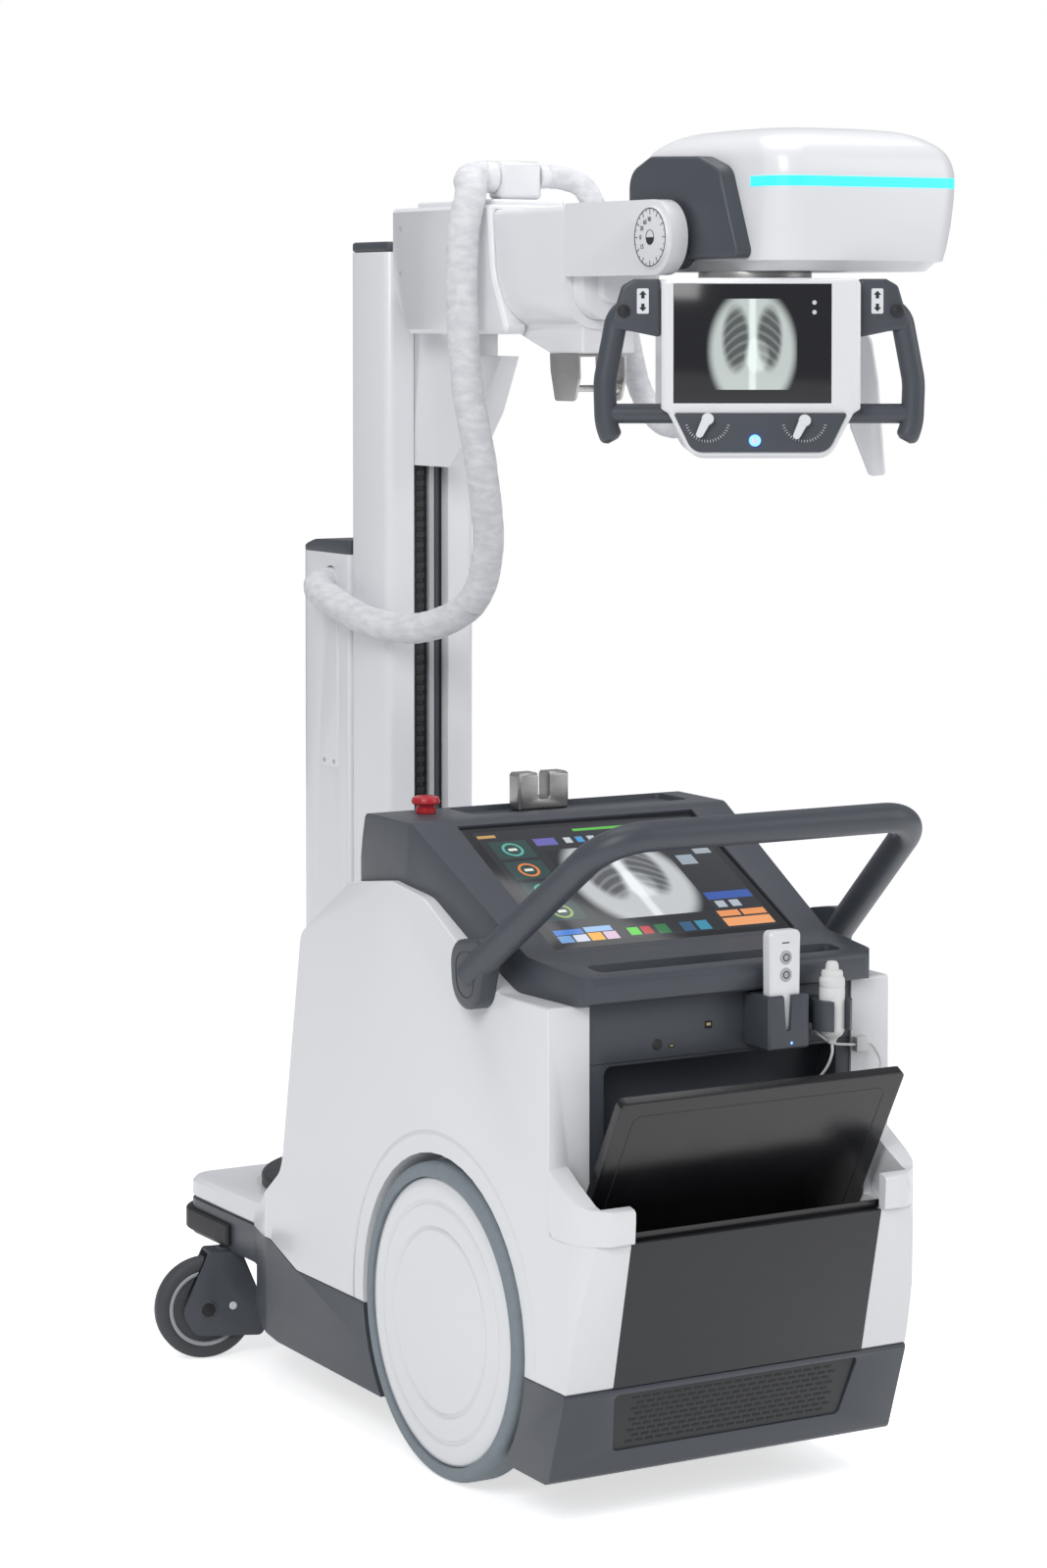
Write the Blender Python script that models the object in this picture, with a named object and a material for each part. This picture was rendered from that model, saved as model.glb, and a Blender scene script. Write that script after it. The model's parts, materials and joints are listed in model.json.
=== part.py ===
"""Mobile x-ray machine, in metres, +Z up.

X runs across the machine, +Y towards the casters and the column, -Y towards the operator.
Every outline below is written with Y = 0 at the main wheels' axle. The root empty then shifts
the whole machine by ORIGIN_SHIFT, so that the world origin lies under the middle of its box.
"""
import math

import bmesh
import bpy
from mathutils import Matrix, Vector

# General clearances
GAP = 0.0003
RUN = 0.0005
OVER = 0.01

# Whole machine
HALF_WIDTH = 0.280
SKIRT_BOTTOM = 0.067
SKIRT_TOP = 0.200
APRON_TOP = 0.2295
NOSE_HALF = 0.260
NOSE_END = 0.900
NOSE_BOTTOM = 0.175
DECK_TOP = 0.264
DECK_SEAM = 0.640
BUMPER_END = 0.920
HEAD_FRONT = -0.466
GRIPS_FRONT = -0.5086
ORIGIN_SHIFT = -(BUMPER_END + GRIPS_FRONT) / 2

# Main wheels
WHEEL_RADIUS = 0.225
WHEEL_OUTER = 0.285
WHEEL_INNER = 0.228
DISC_RADIUS = 0.2035
WELL_RADIUS = 0.238
WELL_INNER = 0.213
AXLE_RADIUS = 0.020
AXLE_HALF = 0.252

# Casters
CASTER_X = 0.250
CASTER_Y = 0.752
CASTER_RADIUS = 0.0805
CASTER_TRAIL = 0.040
CASTER_TREAD = 0.030
CASTER_TURN = math.radians(102)
CASTER_BACK_X = math.sin(CASTER_TURN)
CASTER_BACK_Y = -math.cos(CASTER_TURN)
CASTER_WHEEL_X = CASTER_X + CASTER_TRAIL * CASTER_BACK_X
CASTER_WHEEL_Y = CASTER_Y + CASTER_TRAIL * CASTER_BACK_Y
CASTER_RECESS = 0.128
FORK_PLATE = 0.005
FORK_GAP = 0.005

# Drive pocket and battery
POCKET_X = 0.200
FRAME_REAR = 0.100
BATTERY_FRONT = 0.430
FRAME_TOP = 0.300
POCKET_TOP = 0.334
BATTERY_BOTTOM = 0.085

# Column
COLUMN_Y = 0.690
RING_RADIUS = 0.200
RING_TOP = 0.282
RING_CLEAR = 0.2065
HOUSING_HALF = 0.080
HOUSING_FRONT = 0.665
HOUSING_BACK = 0.846
HOUSING_TOP = 1.272
HOUSING_CAP = 0.020
HOSE_PORT_Y = 0.727
HOSE_PORT_Z = 1.225
TONGUE_HALF = 0.020
TONGUE_BACK = 0.700

# Mast
MAST_HALF = 0.078
MAST_FRONT = 0.538
MAST_BACK = 0.660
MAST_BOTTOM = 0.745
MAST_TOP = 1.748
MAST_CAP = 0.016
SLOT_HALF = 0.030
SLOT_DEPTH = 0.030
RACK_DEPTH = 0.020
RACK_PITCH = 0.032
RACK_TOOTH = 0.004

# Carriage
CARRIAGE_HALF = 0.085
CARRIAGE_REAR = 0.510
CARRIAGE_FRONT = 0.180
CARRIAGE_BOTTOM = 1.622
CARRIAGE_TOP = 1.813
GUSSET_BOTTOM = 1.417
CHANNEL_HALF = 0.052
CHANNEL_REAR = 0.365

# Arm, outer and inner stage
ARM_HALF = 0.0765
ARM_BOTTOM = 1.630
ARM_TOP = 1.806
ARM_FRONT = 0.000
ARM_REAR = 0.345
ARM_WALL = 0.0120
REACH_HALF = ARM_HALF - ARM_WALL - 0.001
REACH_BOTTOM = ARM_BOTTOM + ARM_WALL + 0.001
REACH_TOP = ARM_TOP - ARM_WALL - 0.001
REACH_FRONT = -0.030
REACH_REAR = 0.330
LOCK_HALF = 0.045
LOCK_BOTTOM = 1.595

# Head
TILT_Y = -0.240
TILT_Z = 1.757
BAR_OUTER = -0.080
BAR_INNER = -0.054
BAR_RADIUS = 0.052
BAR_WALL = 0.0045
POD_OUTER = -0.045
HEAD_LEFT = -0.020
HEAD_RIGHT = 0.288
HEAD_REAR = -0.100
HEAD_BOTTOM = 1.710
HEAD_TOP = 1.906
STRIP_Z = 1.830
STRIP_HIGH = 0.0145
STRIP_REAR = -0.395

# Collimator
TURN_X = 0.050
TURN_Y = -0.300
SCREEN_YAW = math.radians(-30)
COLL_TOP = 1.700
COLL_BOTTOM = 1.458
COLL_FACE = 0.148
COLL_HALF = 0.1335
COLL_REAR = -0.105

# Detector
DETECTOR_WIDE = 0.460
DETECTOR_LONG = 0.345
DETECTOR_THICK = 0.015
DETECTOR_EDGE = 0.003
DETECTOR_Y = -0.2342
DETECTOR_Z = 0.3039
DETECTOR_LEAN = math.radians(29.57)

# Materials: name, base colour, roughness, metallic
PAINTS = {
    "white": ((0.80, 0.81, 0.83), 0.45, 0.0),
    "slate": ((0.095, 0.108, 0.130), 0.50, 0.0),
    "dark": ((0.045, 0.048, 0.055), 0.50, 0.0),
    "black": ((0.010, 0.010, 0.011), 0.40, 0.0),
    "tyre": ((0.200, 0.235, 0.255), 0.70, 0.0),
    "rubber": ((0.030, 0.032, 0.036), 0.75, 0.0),
    "steel": ((0.155, 0.150, 0.140), 0.35, 1.0),
    "red": ((0.510, 0.020, 0.025), 0.40, 0.0),
    "cyan": ((0.080, 0.680, 0.750), 0.30, 0.0),
    "fabric": ((0.720, 0.720, 0.740), 0.85, 0.0),
    "cord": ((0.650, 0.640, 0.620), 0.60, 0.0),
}

# Moving groups: name, parent, the point in the working frame that its joint turns about
GROUPS = [
    ("root", None, (0, 0, 0)),
    ("wheel_left", "root", (-WHEEL_OUTER, 0, WHEEL_RADIUS)),
    ("wheel_right", "root", (WHEEL_OUTER, 0, WHEEL_RADIUS)),
    ("caster_left", "root", (-CASTER_X, CASTER_Y, NOSE_BOTTOM)),
    ("caster_right", "root", (CASTER_X, CASTER_Y, NOSE_BOTTOM)),
    ("caster_wheel_left", "caster_left", (-CASTER_WHEEL_X, CASTER_WHEEL_Y, CASTER_RADIUS)),
    ("caster_wheel_right", "caster_right", (CASTER_WHEEL_X, CASTER_WHEEL_Y, CASTER_RADIUS)),
    ("detector_lift", "root", (0, DETECTOR_Y, DETECTOR_Z)),
    ("column", "root", (0, COLUMN_Y, RING_TOP)),
    ("mast_slide", "column", (0, MAST_BACK, MAST_BOTTOM)),
    ("carriage_lift", "mast_slide", (0, CARRIAGE_REAR, CARRIAGE_BOTTOM)),
    ("arm_slide", "carriage_lift", (0, ARM_FRONT, ARM_BOTTOM)),
    ("arm_reach", "arm_slide", (0, REACH_FRONT, REACH_BOTTOM)),
    ("head_tilt", "arm_reach", (BAR_INNER, TILT_Y, TILT_Z)),
    ("collimator_turn", "head_tilt", (TURN_X, TURN_Y, HEAD_BOTTOM)),
]
POINTS = {name: Vector(point) for name, parent, point in GROUPS}
EMPTIES = {}
MATERIALS = {}


def clear_scene():
    """Take away what a new file holds."""
    for item in list(bpy.data.objects):
        bpy.data.objects.remove(item, do_unlink=True)


def make_groups():
    """One empty for each moving group, on its joint's axis."""
    for name, parent, point in GROUPS:
        empty = bpy.data.objects.new("axis_" + name, None)
        bpy.context.scene.collection.objects.link(empty)
        if parent is None:
            empty.location = (0, ORIGIN_SHIFT, 0)
        else:
            empty.parent = EMPTIES[parent]
            empty.location = POINTS[name] - POINTS[parent]
        EMPTIES[name] = empty


def paint(name):
    """The material of that name, made on first use."""
    if name not in MATERIALS:
        colour, roughness, metallic = PAINTS[name]
        material = bpy.data.materials.new(name)
        material.use_nodes = True
        shader = material.node_tree.nodes["Principled BSDF"]
        shader.inputs["Base Color"].default_value = (*colour, 1)
        shader.inputs["Roughness"].default_value = roughness
        shader.inputs["Metallic"].default_value = metallic
        MATERIALS[name] = material
    return MATERIALS[name]


def place(item, group, colour):
    """Hang a piece on its group, its outline still in the working frame."""
    item.parent = EMPTIES[group]
    item.location = Vector(item.location) - POINTS[group]
    item.data.materials.append(paint(colour))
    return item


def new_object(name, work, smooth=True):
    """An object from a bmesh, faces turned outwards."""
    bmesh.ops.recalc_face_normals(work, faces=work.faces)
    mesh = bpy.data.meshes.new(name)
    work.to_mesh(mesh)
    work.free()
    if smooth:
        mesh.shade_smooth()
        mesh.set_sharp_from_angle(angle=math.radians(35))
    item = bpy.data.objects.new(name, mesh)
    bpy.context.scene.collection.objects.link(item)
    return item


def rounded(corners, steps=5):
    """Corners (u, v, radius) become a closed outline with round corners."""
    outline = []
    count = len(corners)
    for index, (u, v, radius) in enumerate(corners):
        here = Vector((u, v))
        before = Vector(corners[index - 1][:2]) - here
        after = Vector(corners[(index + 1) % count][:2]) - here
        if radius <= 0:
            outline.append(here)
            continue
        before.normalize()
        after.normalize()
        half = before.angle(after) / 2
        reach = radius / math.tan(half)
        centre = here + (before + after).normalized() * (radius / math.sin(half))
        start = here + before * reach - centre
        turn = start.angle_signed(here + after * reach - centre)
        for step in range(steps + 1):
            spin = Matrix.Rotation(-turn * step / steps, 2)
            outline.append(centre + spin @ start)
    return outline


def along(axis, u, v, w):
    """The point at (u, v) of an outline, w along the axis it is drawn out on."""
    if axis == "X":
        return Vector((w, u, v))
    if axis == "Y":
        return Vector((u, w, v))
    return Vector((u, v, w))


def skin(name, rings, closed=False, smooth=True):
    """Rings of points joined one to the next; the ends are capped unless closed."""
    work = bmesh.new()
    layers = [[work.verts.new(point) for point in ring] for ring in rings]
    count = len(layers[0])
    pairs = list(zip(layers, layers[1:]))
    if closed:
        pairs.append((layers[-1], layers[0]))
    for low, high in pairs:
        for index in range(count):
            after = (index + 1) % count
            work.faces.new((low[index], low[after], high[after], high[index]))
    if not closed:
        work.faces.new(layers[0])
        work.faces.new(layers[-1])
    return new_object(name, work, smooth)


def prism(name, axis, corners, low, high, edge=0.0, steps=4, segments=1):
    """A rounded outline drawn out along an axis, its end edges broken by a bevel."""
    outline = rounded(corners, steps)
    rings = [[along(axis, u, v, w) for u, v in outline] for w in (low, high)]
    item = skin(name, rings)
    if edge > 0:
        soften(item, edge, segments)
    return item


def soften(item, width, segments=1):
    """Round the sharp edges."""
    bevel = item.modifiers.new("edge", "BEVEL")
    bevel.width = width
    bevel.segments = segments
    bevel.limit_method = "ANGLE"
    bevel.angle_limit = math.radians(50)


def box(name, low, high, edge=0.0, segments=1):
    """A block from its two far corners."""
    corners = [(low[0], low[1], 0), (high[0], low[1], 0), (high[0], high[1], 0), (low[0], high[1], 0)]
    return prism(name, "Z", corners, low[2], high[2], edge, segments=segments)


def turned(name, axis, centre, profile, steps=32, closed=False):
    """A profile of (along, radius) points turned about an axis through centre."""
    centre = Vector(centre)
    rings = []
    for distance, radius in profile:
        ring = []
        for step in range(steps):
            angle = 2 * math.pi * step / steps
            u = radius * math.cos(angle)
            v = radius * math.sin(angle)
            ring.append(centre + along(axis, u, v, distance))
        rings.append(ring)
    return skin(name, rings, closed)


def bent_path(points, steps=6):
    """Points (x, y, z, bend radius) become a path of straights and round bends."""
    path = []
    for index, (x, y, z, radius) in enumerate(points):
        here = Vector((x, y, z))
        if index in (0, len(points) - 1) or radius <= 0:
            path.append(here)
            continue
        before = (Vector(points[index - 1][:3]) - here).normalized()
        after = (Vector(points[index + 1][:3]) - here).normalized()
        half = before.angle(after) / 2
        reach = radius / math.tan(half)
        centre = here + (before + after).normalized() * (radius / math.sin(half))
        start = here + before * reach - centre
        end = here + after * reach - centre
        for step in range(steps + 1):
            path.append(centre + radius * start.slerp(end, step / steps))
    return path


def smooth_path(points, steps=6):
    """A Catmull-Rom curve through the points."""
    nodes = [Vector(point) for point in points]
    nodes = [2 * nodes[0] - nodes[1]] + nodes + [2 * nodes[-1] - nodes[-2]]
    path = []
    for a, b, c, d in zip(nodes, nodes[1:], nodes[2:], nodes[3:]):
        for step in range(steps):
            t = step / steps
            path.append(0.5 * (2 * b + (c - a) * t + (2 * a - 5 * b + 4 * c - d) * t ** 2
                               + (3 * b - a - 3 * c + d) * t ** 3))
    path.append(nodes[-2])
    return path


def sweep(name, path, radius, sides=12):
    """A round bar along a path, its ring carried on without twist."""
    rings = []
    forward = (path[1] - path[0]).normalized()
    side = forward.orthogonal().normalized()
    for index, point in enumerate(path):
        before = path[max(index - 1, 0)]
        after = path[min(index + 1, len(path) - 1)]
        forward = (after - before).normalized()
        side = (side - forward * side.dot(forward)).normalized()
        up = forward.cross(side)
        angles = [2 * math.pi * step / sides for step in range(sides)]
        rings.append([point + radius * (side * math.cos(a) + up * math.sin(a)) for a in angles])
    return skin(name, rings)


def cord(name, path, radius, resolution=2):
    """A cord, hose or cable as a round curve with its ends closed."""
    curve = bpy.data.curves.new(name, "CURVE")
    curve.dimensions = "3D"
    curve.bevel_depth = radius
    curve.bevel_resolution = resolution
    curve.use_fill_caps = True
    spline = curve.splines.new("POLY")
    spline.points.add(len(path) - 1)
    for slot, point in zip(spline.points, path):
        slot.co = (*point, 1)
    item = bpy.data.objects.new(name, curve)
    bpy.context.scene.collection.objects.link(item)
    return item


def shape(target, tool, operation="DIFFERENCE"):
    """Cut, join or keep what two solids share; the tool is hidden."""
    boolean = target.modifiers.new("shape", "BOOLEAN")
    boolean.operation = operation
    boolean.solver = "EXACT"
    boolean.object = tool
    tool.hide_render = True
    tool.display_type = "WIRE"
    TOOLS.append((target, tool))
    return target


def join(target, tool):
    """Make two touching or crossing solids one."""
    return shape(target, tool, "UNION")


def keep(target, tool):
    """Keep only what lies in both solids."""
    return shape(target, tool, "INTERSECT")


TOOLS = []


def hang_tools():
    """Put every cutter on the group of the piece that it shapes."""
    for target, tool in TOOLS:
        if tool.parent is None:
            group = root_of(target)
            tool.parent = EMPTIES[group]
            tool.location = Vector(tool.location) - POINTS[group]


def root_of(item):
    """The group that a piece, or the piece a cutter works on, hangs on."""
    owner = item
    while owner.parent is None:
        owner = next(target for target, tool in TOOLS if tool == owner)
    return owner.parent.name.replace("axis_", "")


# Chassis


def plan_tool(name, low, high):
    """The machine's outline seen from above, as a block to keep pieces inside."""
    corners = [
        (-HALF_WIDTH, -0.402, 0.060),
        (HALF_WIDTH, -0.402, 0.060),
        (HALF_WIDTH, 0.560, 0.060),
        (NOSE_HALF, DECK_SEAM, 0.040),
        (NOSE_HALF, NOSE_END, 0.045),
        (-NOSE_HALF, NOSE_END, 0.045),
        (-NOSE_HALF, DECK_SEAM, 0.040),
        (-HALF_WIDTH, 0.560, 0.060),
    ]
    return prism(name, "Z", corners, low, high)


def cut_wheel_wells(target):
    """A round well for each main wheel, open to the outside."""
    for side in (-1, 1):
        ends = sorted((side * WELL_INNER, side * (HALF_WIDTH + 2 * OVER)))
        well = turned("well", "X", (0, 0, WHEEL_RADIUS), [(end, WELL_RADIUS) for end in ends], 48)
        shape(target, well)


def make_chassis():
    """The dark lower shell, with the frame block that carries the axle."""
    side_view = [
        (-0.300, SKIRT_BOTTOM, 0.012),
        (0.520, 0.077, 0.020),
        (0.606, 0.089, 0.030),
        (0.655, 0.130, 0.020),
        (0.725, NOSE_BOTTOM, 0.020),
        (NOSE_END, NOSE_BOTTOM, 0.006),
        (NOSE_END, APRON_TOP, 0.002),
        (0.545, APRON_TOP, 0.020),
        (0.455, SKIRT_TOP, 0.020),
        (-0.345, SKIRT_TOP, 0.006),
    ]
    skirt = prism("chassis_skirt", "X", side_view, -HALF_WIDTH, HALF_WIDTH)
    keep(skirt, plan_tool("chassis_plan", 0.0, 0.4))
    pocket = box("battery_pocket", (-POCKET_X, FRAME_REAR, 0.0), (POCKET_X, BATTERY_FRONT, 0.4))
    shape(skirt, pocket)
    frame = box("axle_frame", (-POCKET_X + GAP, -FRAME_REAR + GAP, 0.12),
                (POCKET_X - GAP, FRAME_REAR - GAP, FRAME_TOP))
    join(skirt, frame)
    cut_wheel_wells(skirt)
    shape(skirt, turned("axle_bore", "X", (0, 0, WHEEL_RADIUS),
                        [(-0.4, AXLE_RADIUS + GAP), (0.4, AXLE_RADIUS + GAP)], 24))
    for side in (-1, 1):
        recess = turned("caster_recess", "Z", (side * CASTER_X, CASTER_Y, 0),
                        [(0.0, CASTER_RECESS), (0.1725, CASTER_RECESS)], 32)
        shape(skirt, recess)
    shape(skirt, grille_block("grille_recess", GRILLE_SIZE, GAP, 0.02))
    place(skirt, "root", "slate")

    axle = turned("drive_axle", "X", (0, 0, WHEEL_RADIUS),
                  [(-AXLE_HALF, AXLE_RADIUS), (AXLE_HALF, AXLE_RADIUS)], 24)
    place(axle, "root", "steel")
    battery = box("battery_pack", (-POCKET_X + GAP, FRAME_REAR + GAP, BATTERY_BOTTOM),
                  (POCKET_X - GAP, BATTERY_FRONT - GAP, POCKET_TOP - GAP))
    place(battery, "root", "dark")


GRILLE_LEAN = math.atan2(0.045, SKIRT_TOP - SKIRT_BOTTOM)
GRILLE_CENTRE = (-0.3240, 0.1480)
GRILLE_SIZE = (0.200, 0.185, 0.045, 0.004)
GRILLE_ROWS = 9
GRILLE_SLOTS = 4


def grille_block(name, size, grow, proud):
    """The louvred panel's block, leaning with the operator end's face."""
    top, bottom, half, depth = size
    corners = [
        (-bottom - grow, -half - grow, 0.008),
        (bottom + grow, -half - grow, 0.008),
        (top + grow, half + grow, 0.008),
        (-top - grow, half + grow, 0.008),
    ]
    item = prism(name, "Y", corners, -proud, depth + grow, steps=3)
    item.location = (0, *GRILLE_CENTRE)
    item.rotation_euler = (GRILLE_LEAN, 0, 0)
    return item


def make_grille():
    """A louvred panel: staggered rows of short slots."""
    panel = grille_block("vent_grille", GRILLE_SIZE, 0, 0)
    work = bmesh.new()
    pitch_x = 0.090
    pitch_z = 0.0085
    for row in range(GRILLE_ROWS):
        z = (row - (GRILLE_ROWS - 1) / 2) * pitch_z
        shift = (row % 2 - 0.5) * 0.015
        for slot in range(GRILLE_SLOTS):
            x = (slot - (GRILLE_SLOTS - 1) / 2) * pitch_x + shift
            size = Matrix.Diagonal((0.080, 0.006, 0.0034, 1))
            bmesh.ops.create_cube(work, size=1, matrix=Matrix.Translation((x, 0, z)) @ size)
    slots = new_object("grille_slots", work, smooth=False)
    slots.location = panel.location
    slots.rotation_euler = panel.rotation_euler
    shape(panel, slots)
    place(panel, "root", "dark")


def make_wheels():
    """Two driven wheels: a tyre and a dished cover disc with its hub."""
    for name, side in (("left", -1), ("right", 1)):
        middle = (WHEEL_OUTER + WHEEL_INNER) / 2 * side
        half = (WHEEL_OUTER - WHEEL_INNER) / 2
        inner = DISC_RADIUS + GAP
        profile = [
            (-half, inner),
            (-half + 0.003, WHEEL_RADIUS - 0.008),
            (-half + 0.012, WHEEL_RADIUS),
            (half - 0.012, WHEEL_RADIUS),
            (half - 0.003, WHEEL_RADIUS - 0.008),
            (half, inner),
        ]
        tyre = turned("tyre_" + name, "X", (middle, 0, WHEEL_RADIUS), profile, 48, closed=True)
        place(tyre, "wheel_" + name, "tyre")

        face = (WHEEL_OUTER - 0.001) * side
        back = (WHEEL_INNER + 0.002) * side
        bore = AXLE_RADIUS + RUN
        dish = [
            (face, 0.190),
            (face - 0.004 * side, DISC_RADIUS),
            (back, DISC_RADIUS),
            (back, DISC_RADIUS - 0.014),
            (face - 0.022 * side, DISC_RADIUS - 0.020),
            (face - 0.022 * side, 0.055),
            (WELL_INNER * side + 0.0055 * side, 0.050),
            (WELL_INNER * side + 0.0055 * side, bore),
            ((AXLE_HALF + 0.002) * side, bore),
            ((AXLE_HALF + 0.002) * side, 0.001),
        ]
        cover = turned("wheel_disc_" + name, "X", (0, 0, WHEEL_RADIUS), [(face, 0.001)] + dish, 48)
        place(cover, "wheel_" + name, "white")


def make_casters():
    """Swivelling front casters: a forked bracket under the nose, and its wheel."""
    plate = CASTER_TREAD / 2 + FORK_GAP
    crown = 0.171
    for name, side in (("left", -1), ("right", 1)):
        head = (side * CASTER_X, CASTER_Y, 0)
        yaw = math.atan2(-side * CASTER_BACK_X, CASTER_BACK_Y)
        outline = [
            (-0.014, crown, 0.004),
            (0.038, crown, 0.006),
            (0.083, 0.075, 0.028),
            (0.060, 0.040, 0.020),
            (-0.046, 0.034, 0.010),
            (-0.061, 0.058, 0.006),
        ]
        fork = prism("caster_fork_" + name, "X", outline, -plate - FORK_PLATE, plate + FORK_PLATE)
        throat = [(-0.1, 0.0, 0), (0.15, 0.0, 0), (0.15, 0.1675, 0), (-0.1, 0.1675, 0)]
        hub = (0, CASTER_TRAIL, CASTER_RADIUS)
        tools = [
            prism("fork_throat", "X", throat, -plate, plate),
            turned("swivel_head", "Z", (0, 0, 0),
                   [(crown - 0.001, 0.022), (NOSE_BOTTOM - RUN, 0.018)], 24),
            turned("caster_pin", "X", hub, [(-plate - 0.001, 0.006), (plate + 0.001, 0.006)], 16),
        ]
        for end in (-1, 1):
            tools.append(turned("pin_cap", "X", hub, [
                (end * (plate + FORK_PLATE - 0.001), 0.016),
                (end * (plate + FORK_PLATE + 0.002), 0.014),
            ], 20))
        shape(fork, tools[0])
        for tool in tools[1:]:
            join(fork, tool)
        for piece in [fork] + tools:
            piece.rotation_euler = (0, 0, yaw)
            piece.location = head
        place(fork, "caster_" + name, "slate")

        half = CASTER_TREAD / 2
        profile = [
            (-half, 0.0065),
            (-half, 0.070),
            (-half + 0.006, CASTER_RADIUS),
            (half - 0.006, CASTER_RADIUS),
            (half, 0.070),
            (half, 0.0065),
        ]
        wheel = turned("caster_wheel_" + name, "X", (0, 0, 0), profile, 28, closed=True)
        wheel.rotation_euler = (0, 0, yaw)
        wheel.location = (side * CASTER_WHEEL_X, CASTER_WHEEL_Y, CASTER_RADIUS)
        place(wheel, "caster_wheel_" + name, "rubber")


# Body and bin


UNDERSIDE = [
    (0.277, 0.817, 0.002),
    (0.150, 0.834, 0.060),
    (0.050, 0.822, 0.080),
    (-0.040, 0.775, 0.060),
    (-0.165, 0.717, 0.050),
]
LIP_BOTTOM = 0.717
BODY_FRONT = -0.300
BODY_EDGE = 0.010
BAY_HALF = 0.215
BAY_BACK = -0.2397
BAY_FLOOR = 0.4555
BIN_HALF = 0.2035
BIN_RIM = 0.408
BIN_LIP = 0.420
PANEL_FOOT = -0.3275
PANEL_SLOPE = -0.253
PANEL_THICK = 0.012
TRAY_HALF = 0.2365
TRAY_WALL = 0.004
TRAY_FLOOR = DETECTOR_Z - (DETECTOR_THICK / 2 - DETECTOR_EDGE) * math.sin(DETECTOR_LEAN) - GAP
TRAY_BACK = DETECTOR_THICK / 2 + 0.0055


def bin_front(z, offset=0.0):
    """A point on the bin panel's inner face, at height z."""
    return (PANEL_FOOT + PANEL_SLOPE * (z - SKIRT_TOP) + offset, z, 0)


def lean_at(z, offset):
    """A point at height z on a line that leans as the detector does, offset behind its middle."""
    along_line = (z - DETECTOR_Z - math.sin(DETECTOR_LEAN) * offset) / math.cos(DETECTOR_LEAN)
    y = DETECTOR_Y - math.sin(DETECTOR_LEAN) * along_line + math.cos(DETECTOR_LEAN) * offset
    return (y, z, 0)


def make_body():
    """The white cover over the drive, with its rear apron, bin and panel openings."""
    top = [(y, z - GAP, radius) for y, z, radius in UNDERSIDE]
    side_view = [
        (-0.3440, SKIRT_TOP + GAP, 0),
        (-0.3915, BIN_RIM, 0.004),
        (BODY_FRONT, BIN_RIM, 0),
        (BODY_FRONT, LIP_BOTTOM - GAP, 0.004),
        *reversed(top),
        (0.440, 0.720, 0.030),
        (0.508, 0.345, 0.050),
        (0.600, 0.274, 0.060),
        (DECK_SEAM, DECK_TOP, 0),
        (DECK_SEAM, APRON_TOP + GAP, 0),
        (0.545, APRON_TOP + GAP, 0.020),
        (0.455, SKIRT_TOP + GAP, 0.020),
    ]
    body = prism("body_shell", "X", side_view, -HALF_WIDTH, HALF_WIDTH, edge=BODY_EDGE)
    keep(body, plan_tool("body_plan", 0.1, 1.0))
    cut_wheel_wells(body)
    shape(body, turned("column_clearance", "Z", (0, COLUMN_Y, 0),
                       [(DECK_TOP - 0.001, RING_CLEAR), (0.9, RING_CLEAR)], 64))
    shape(body, box("drive_pocket", (-POCKET_X, -FRAME_REAR, 0.1),
                    (POCKET_X, BATTERY_FRONT, POCKET_TOP)))
    shape(body, turned("body_axle_bore", "X", (0, 0, WHEEL_RADIUS),
                       [(-HALF_WIDTH, AXLE_RADIUS + RUN), (HALF_WIDTH, AXLE_RADIUS + RUN)], 24))
    floor = TRAY_FLOOR - TRAY_WALL - GAP
    back = TRAY_BACK + TRAY_WALL + GAP
    pocket = [
        bin_front(floor),
        lean_at(floor, back),
        lean_at(BAY_FLOOR, back),
        (-0.5, BAY_FLOOR, 0),
        (-0.5, BIN_RIM + 0.002, 0),
        bin_front(BIN_RIM + 0.002),
    ]
    shape(body, prism("bin_pocket", "X", pocket, -TRAY_HALF - GAP, TRAY_HALF + GAP))
    mouth = [
        (-0.5, 0.190, 0),
        bin_front(0.190, GAP),
        bin_front(BIN_LIP, GAP),
        (-0.5, BIN_LIP, 0),
    ]
    shape(body, prism("bin_mouth", "X", mouth, -BIN_HALF - GAP, BIN_HALF + GAP))
    shape(body, box("panel_recess", (-BAY_HALF, -0.5, BAY_FLOOR), (BAY_HALF, BAY_BACK, 0.9)))
    place(body, "root", "white")


def make_nose():
    """The white deck under the column and the rubber bumper round its end."""
    plan = [
        (-NOSE_HALF, DECK_SEAM + GAP, 0),
        (NOSE_HALF, DECK_SEAM + GAP, 0),
        (NOSE_HALF, NOSE_END, 0.045),
        (-NOSE_HALF, NOSE_END, 0.045),
    ]
    deck = prism("nose_deck", "Z", plan, APRON_TOP + GAP, DECK_TOP, edge=0.006)
    shape(deck, turned("turntable_recess", "Z", (0, COLUMN_Y, 0),
                       [(DECK_TOP - 0.001, RING_CLEAR), (0.9, RING_CLEAR)], 64))
    place(deck, "root", "white")

    proud = 0.008
    outer = [
        (-NOSE_HALF - proud, 0.724, 0.004),
        (NOSE_HALF + proud, 0.724, 0.004),
        (NOSE_HALF + proud, BUMPER_END, 0.060),
        (-NOSE_HALF - proud, BUMPER_END, 0.060),
    ]
    inner = [
        (-NOSE_HALF - GAP, 0.60, 0),
        (NOSE_HALF + GAP, 0.60, 0),
        (NOSE_HALF + GAP, NOSE_END + GAP, 0.045),
        (-NOSE_HALF - GAP, NOSE_END + GAP, 0.045),
    ]
    bumper = prism("nose_bumper", "Z", outer, 0.180, 0.215, edge=0.003, steps=8)
    shape(bumper, prism("nose_hole", "Z", inner, 0.10, 0.30))
    place(bumper, "root", "black")


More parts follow.
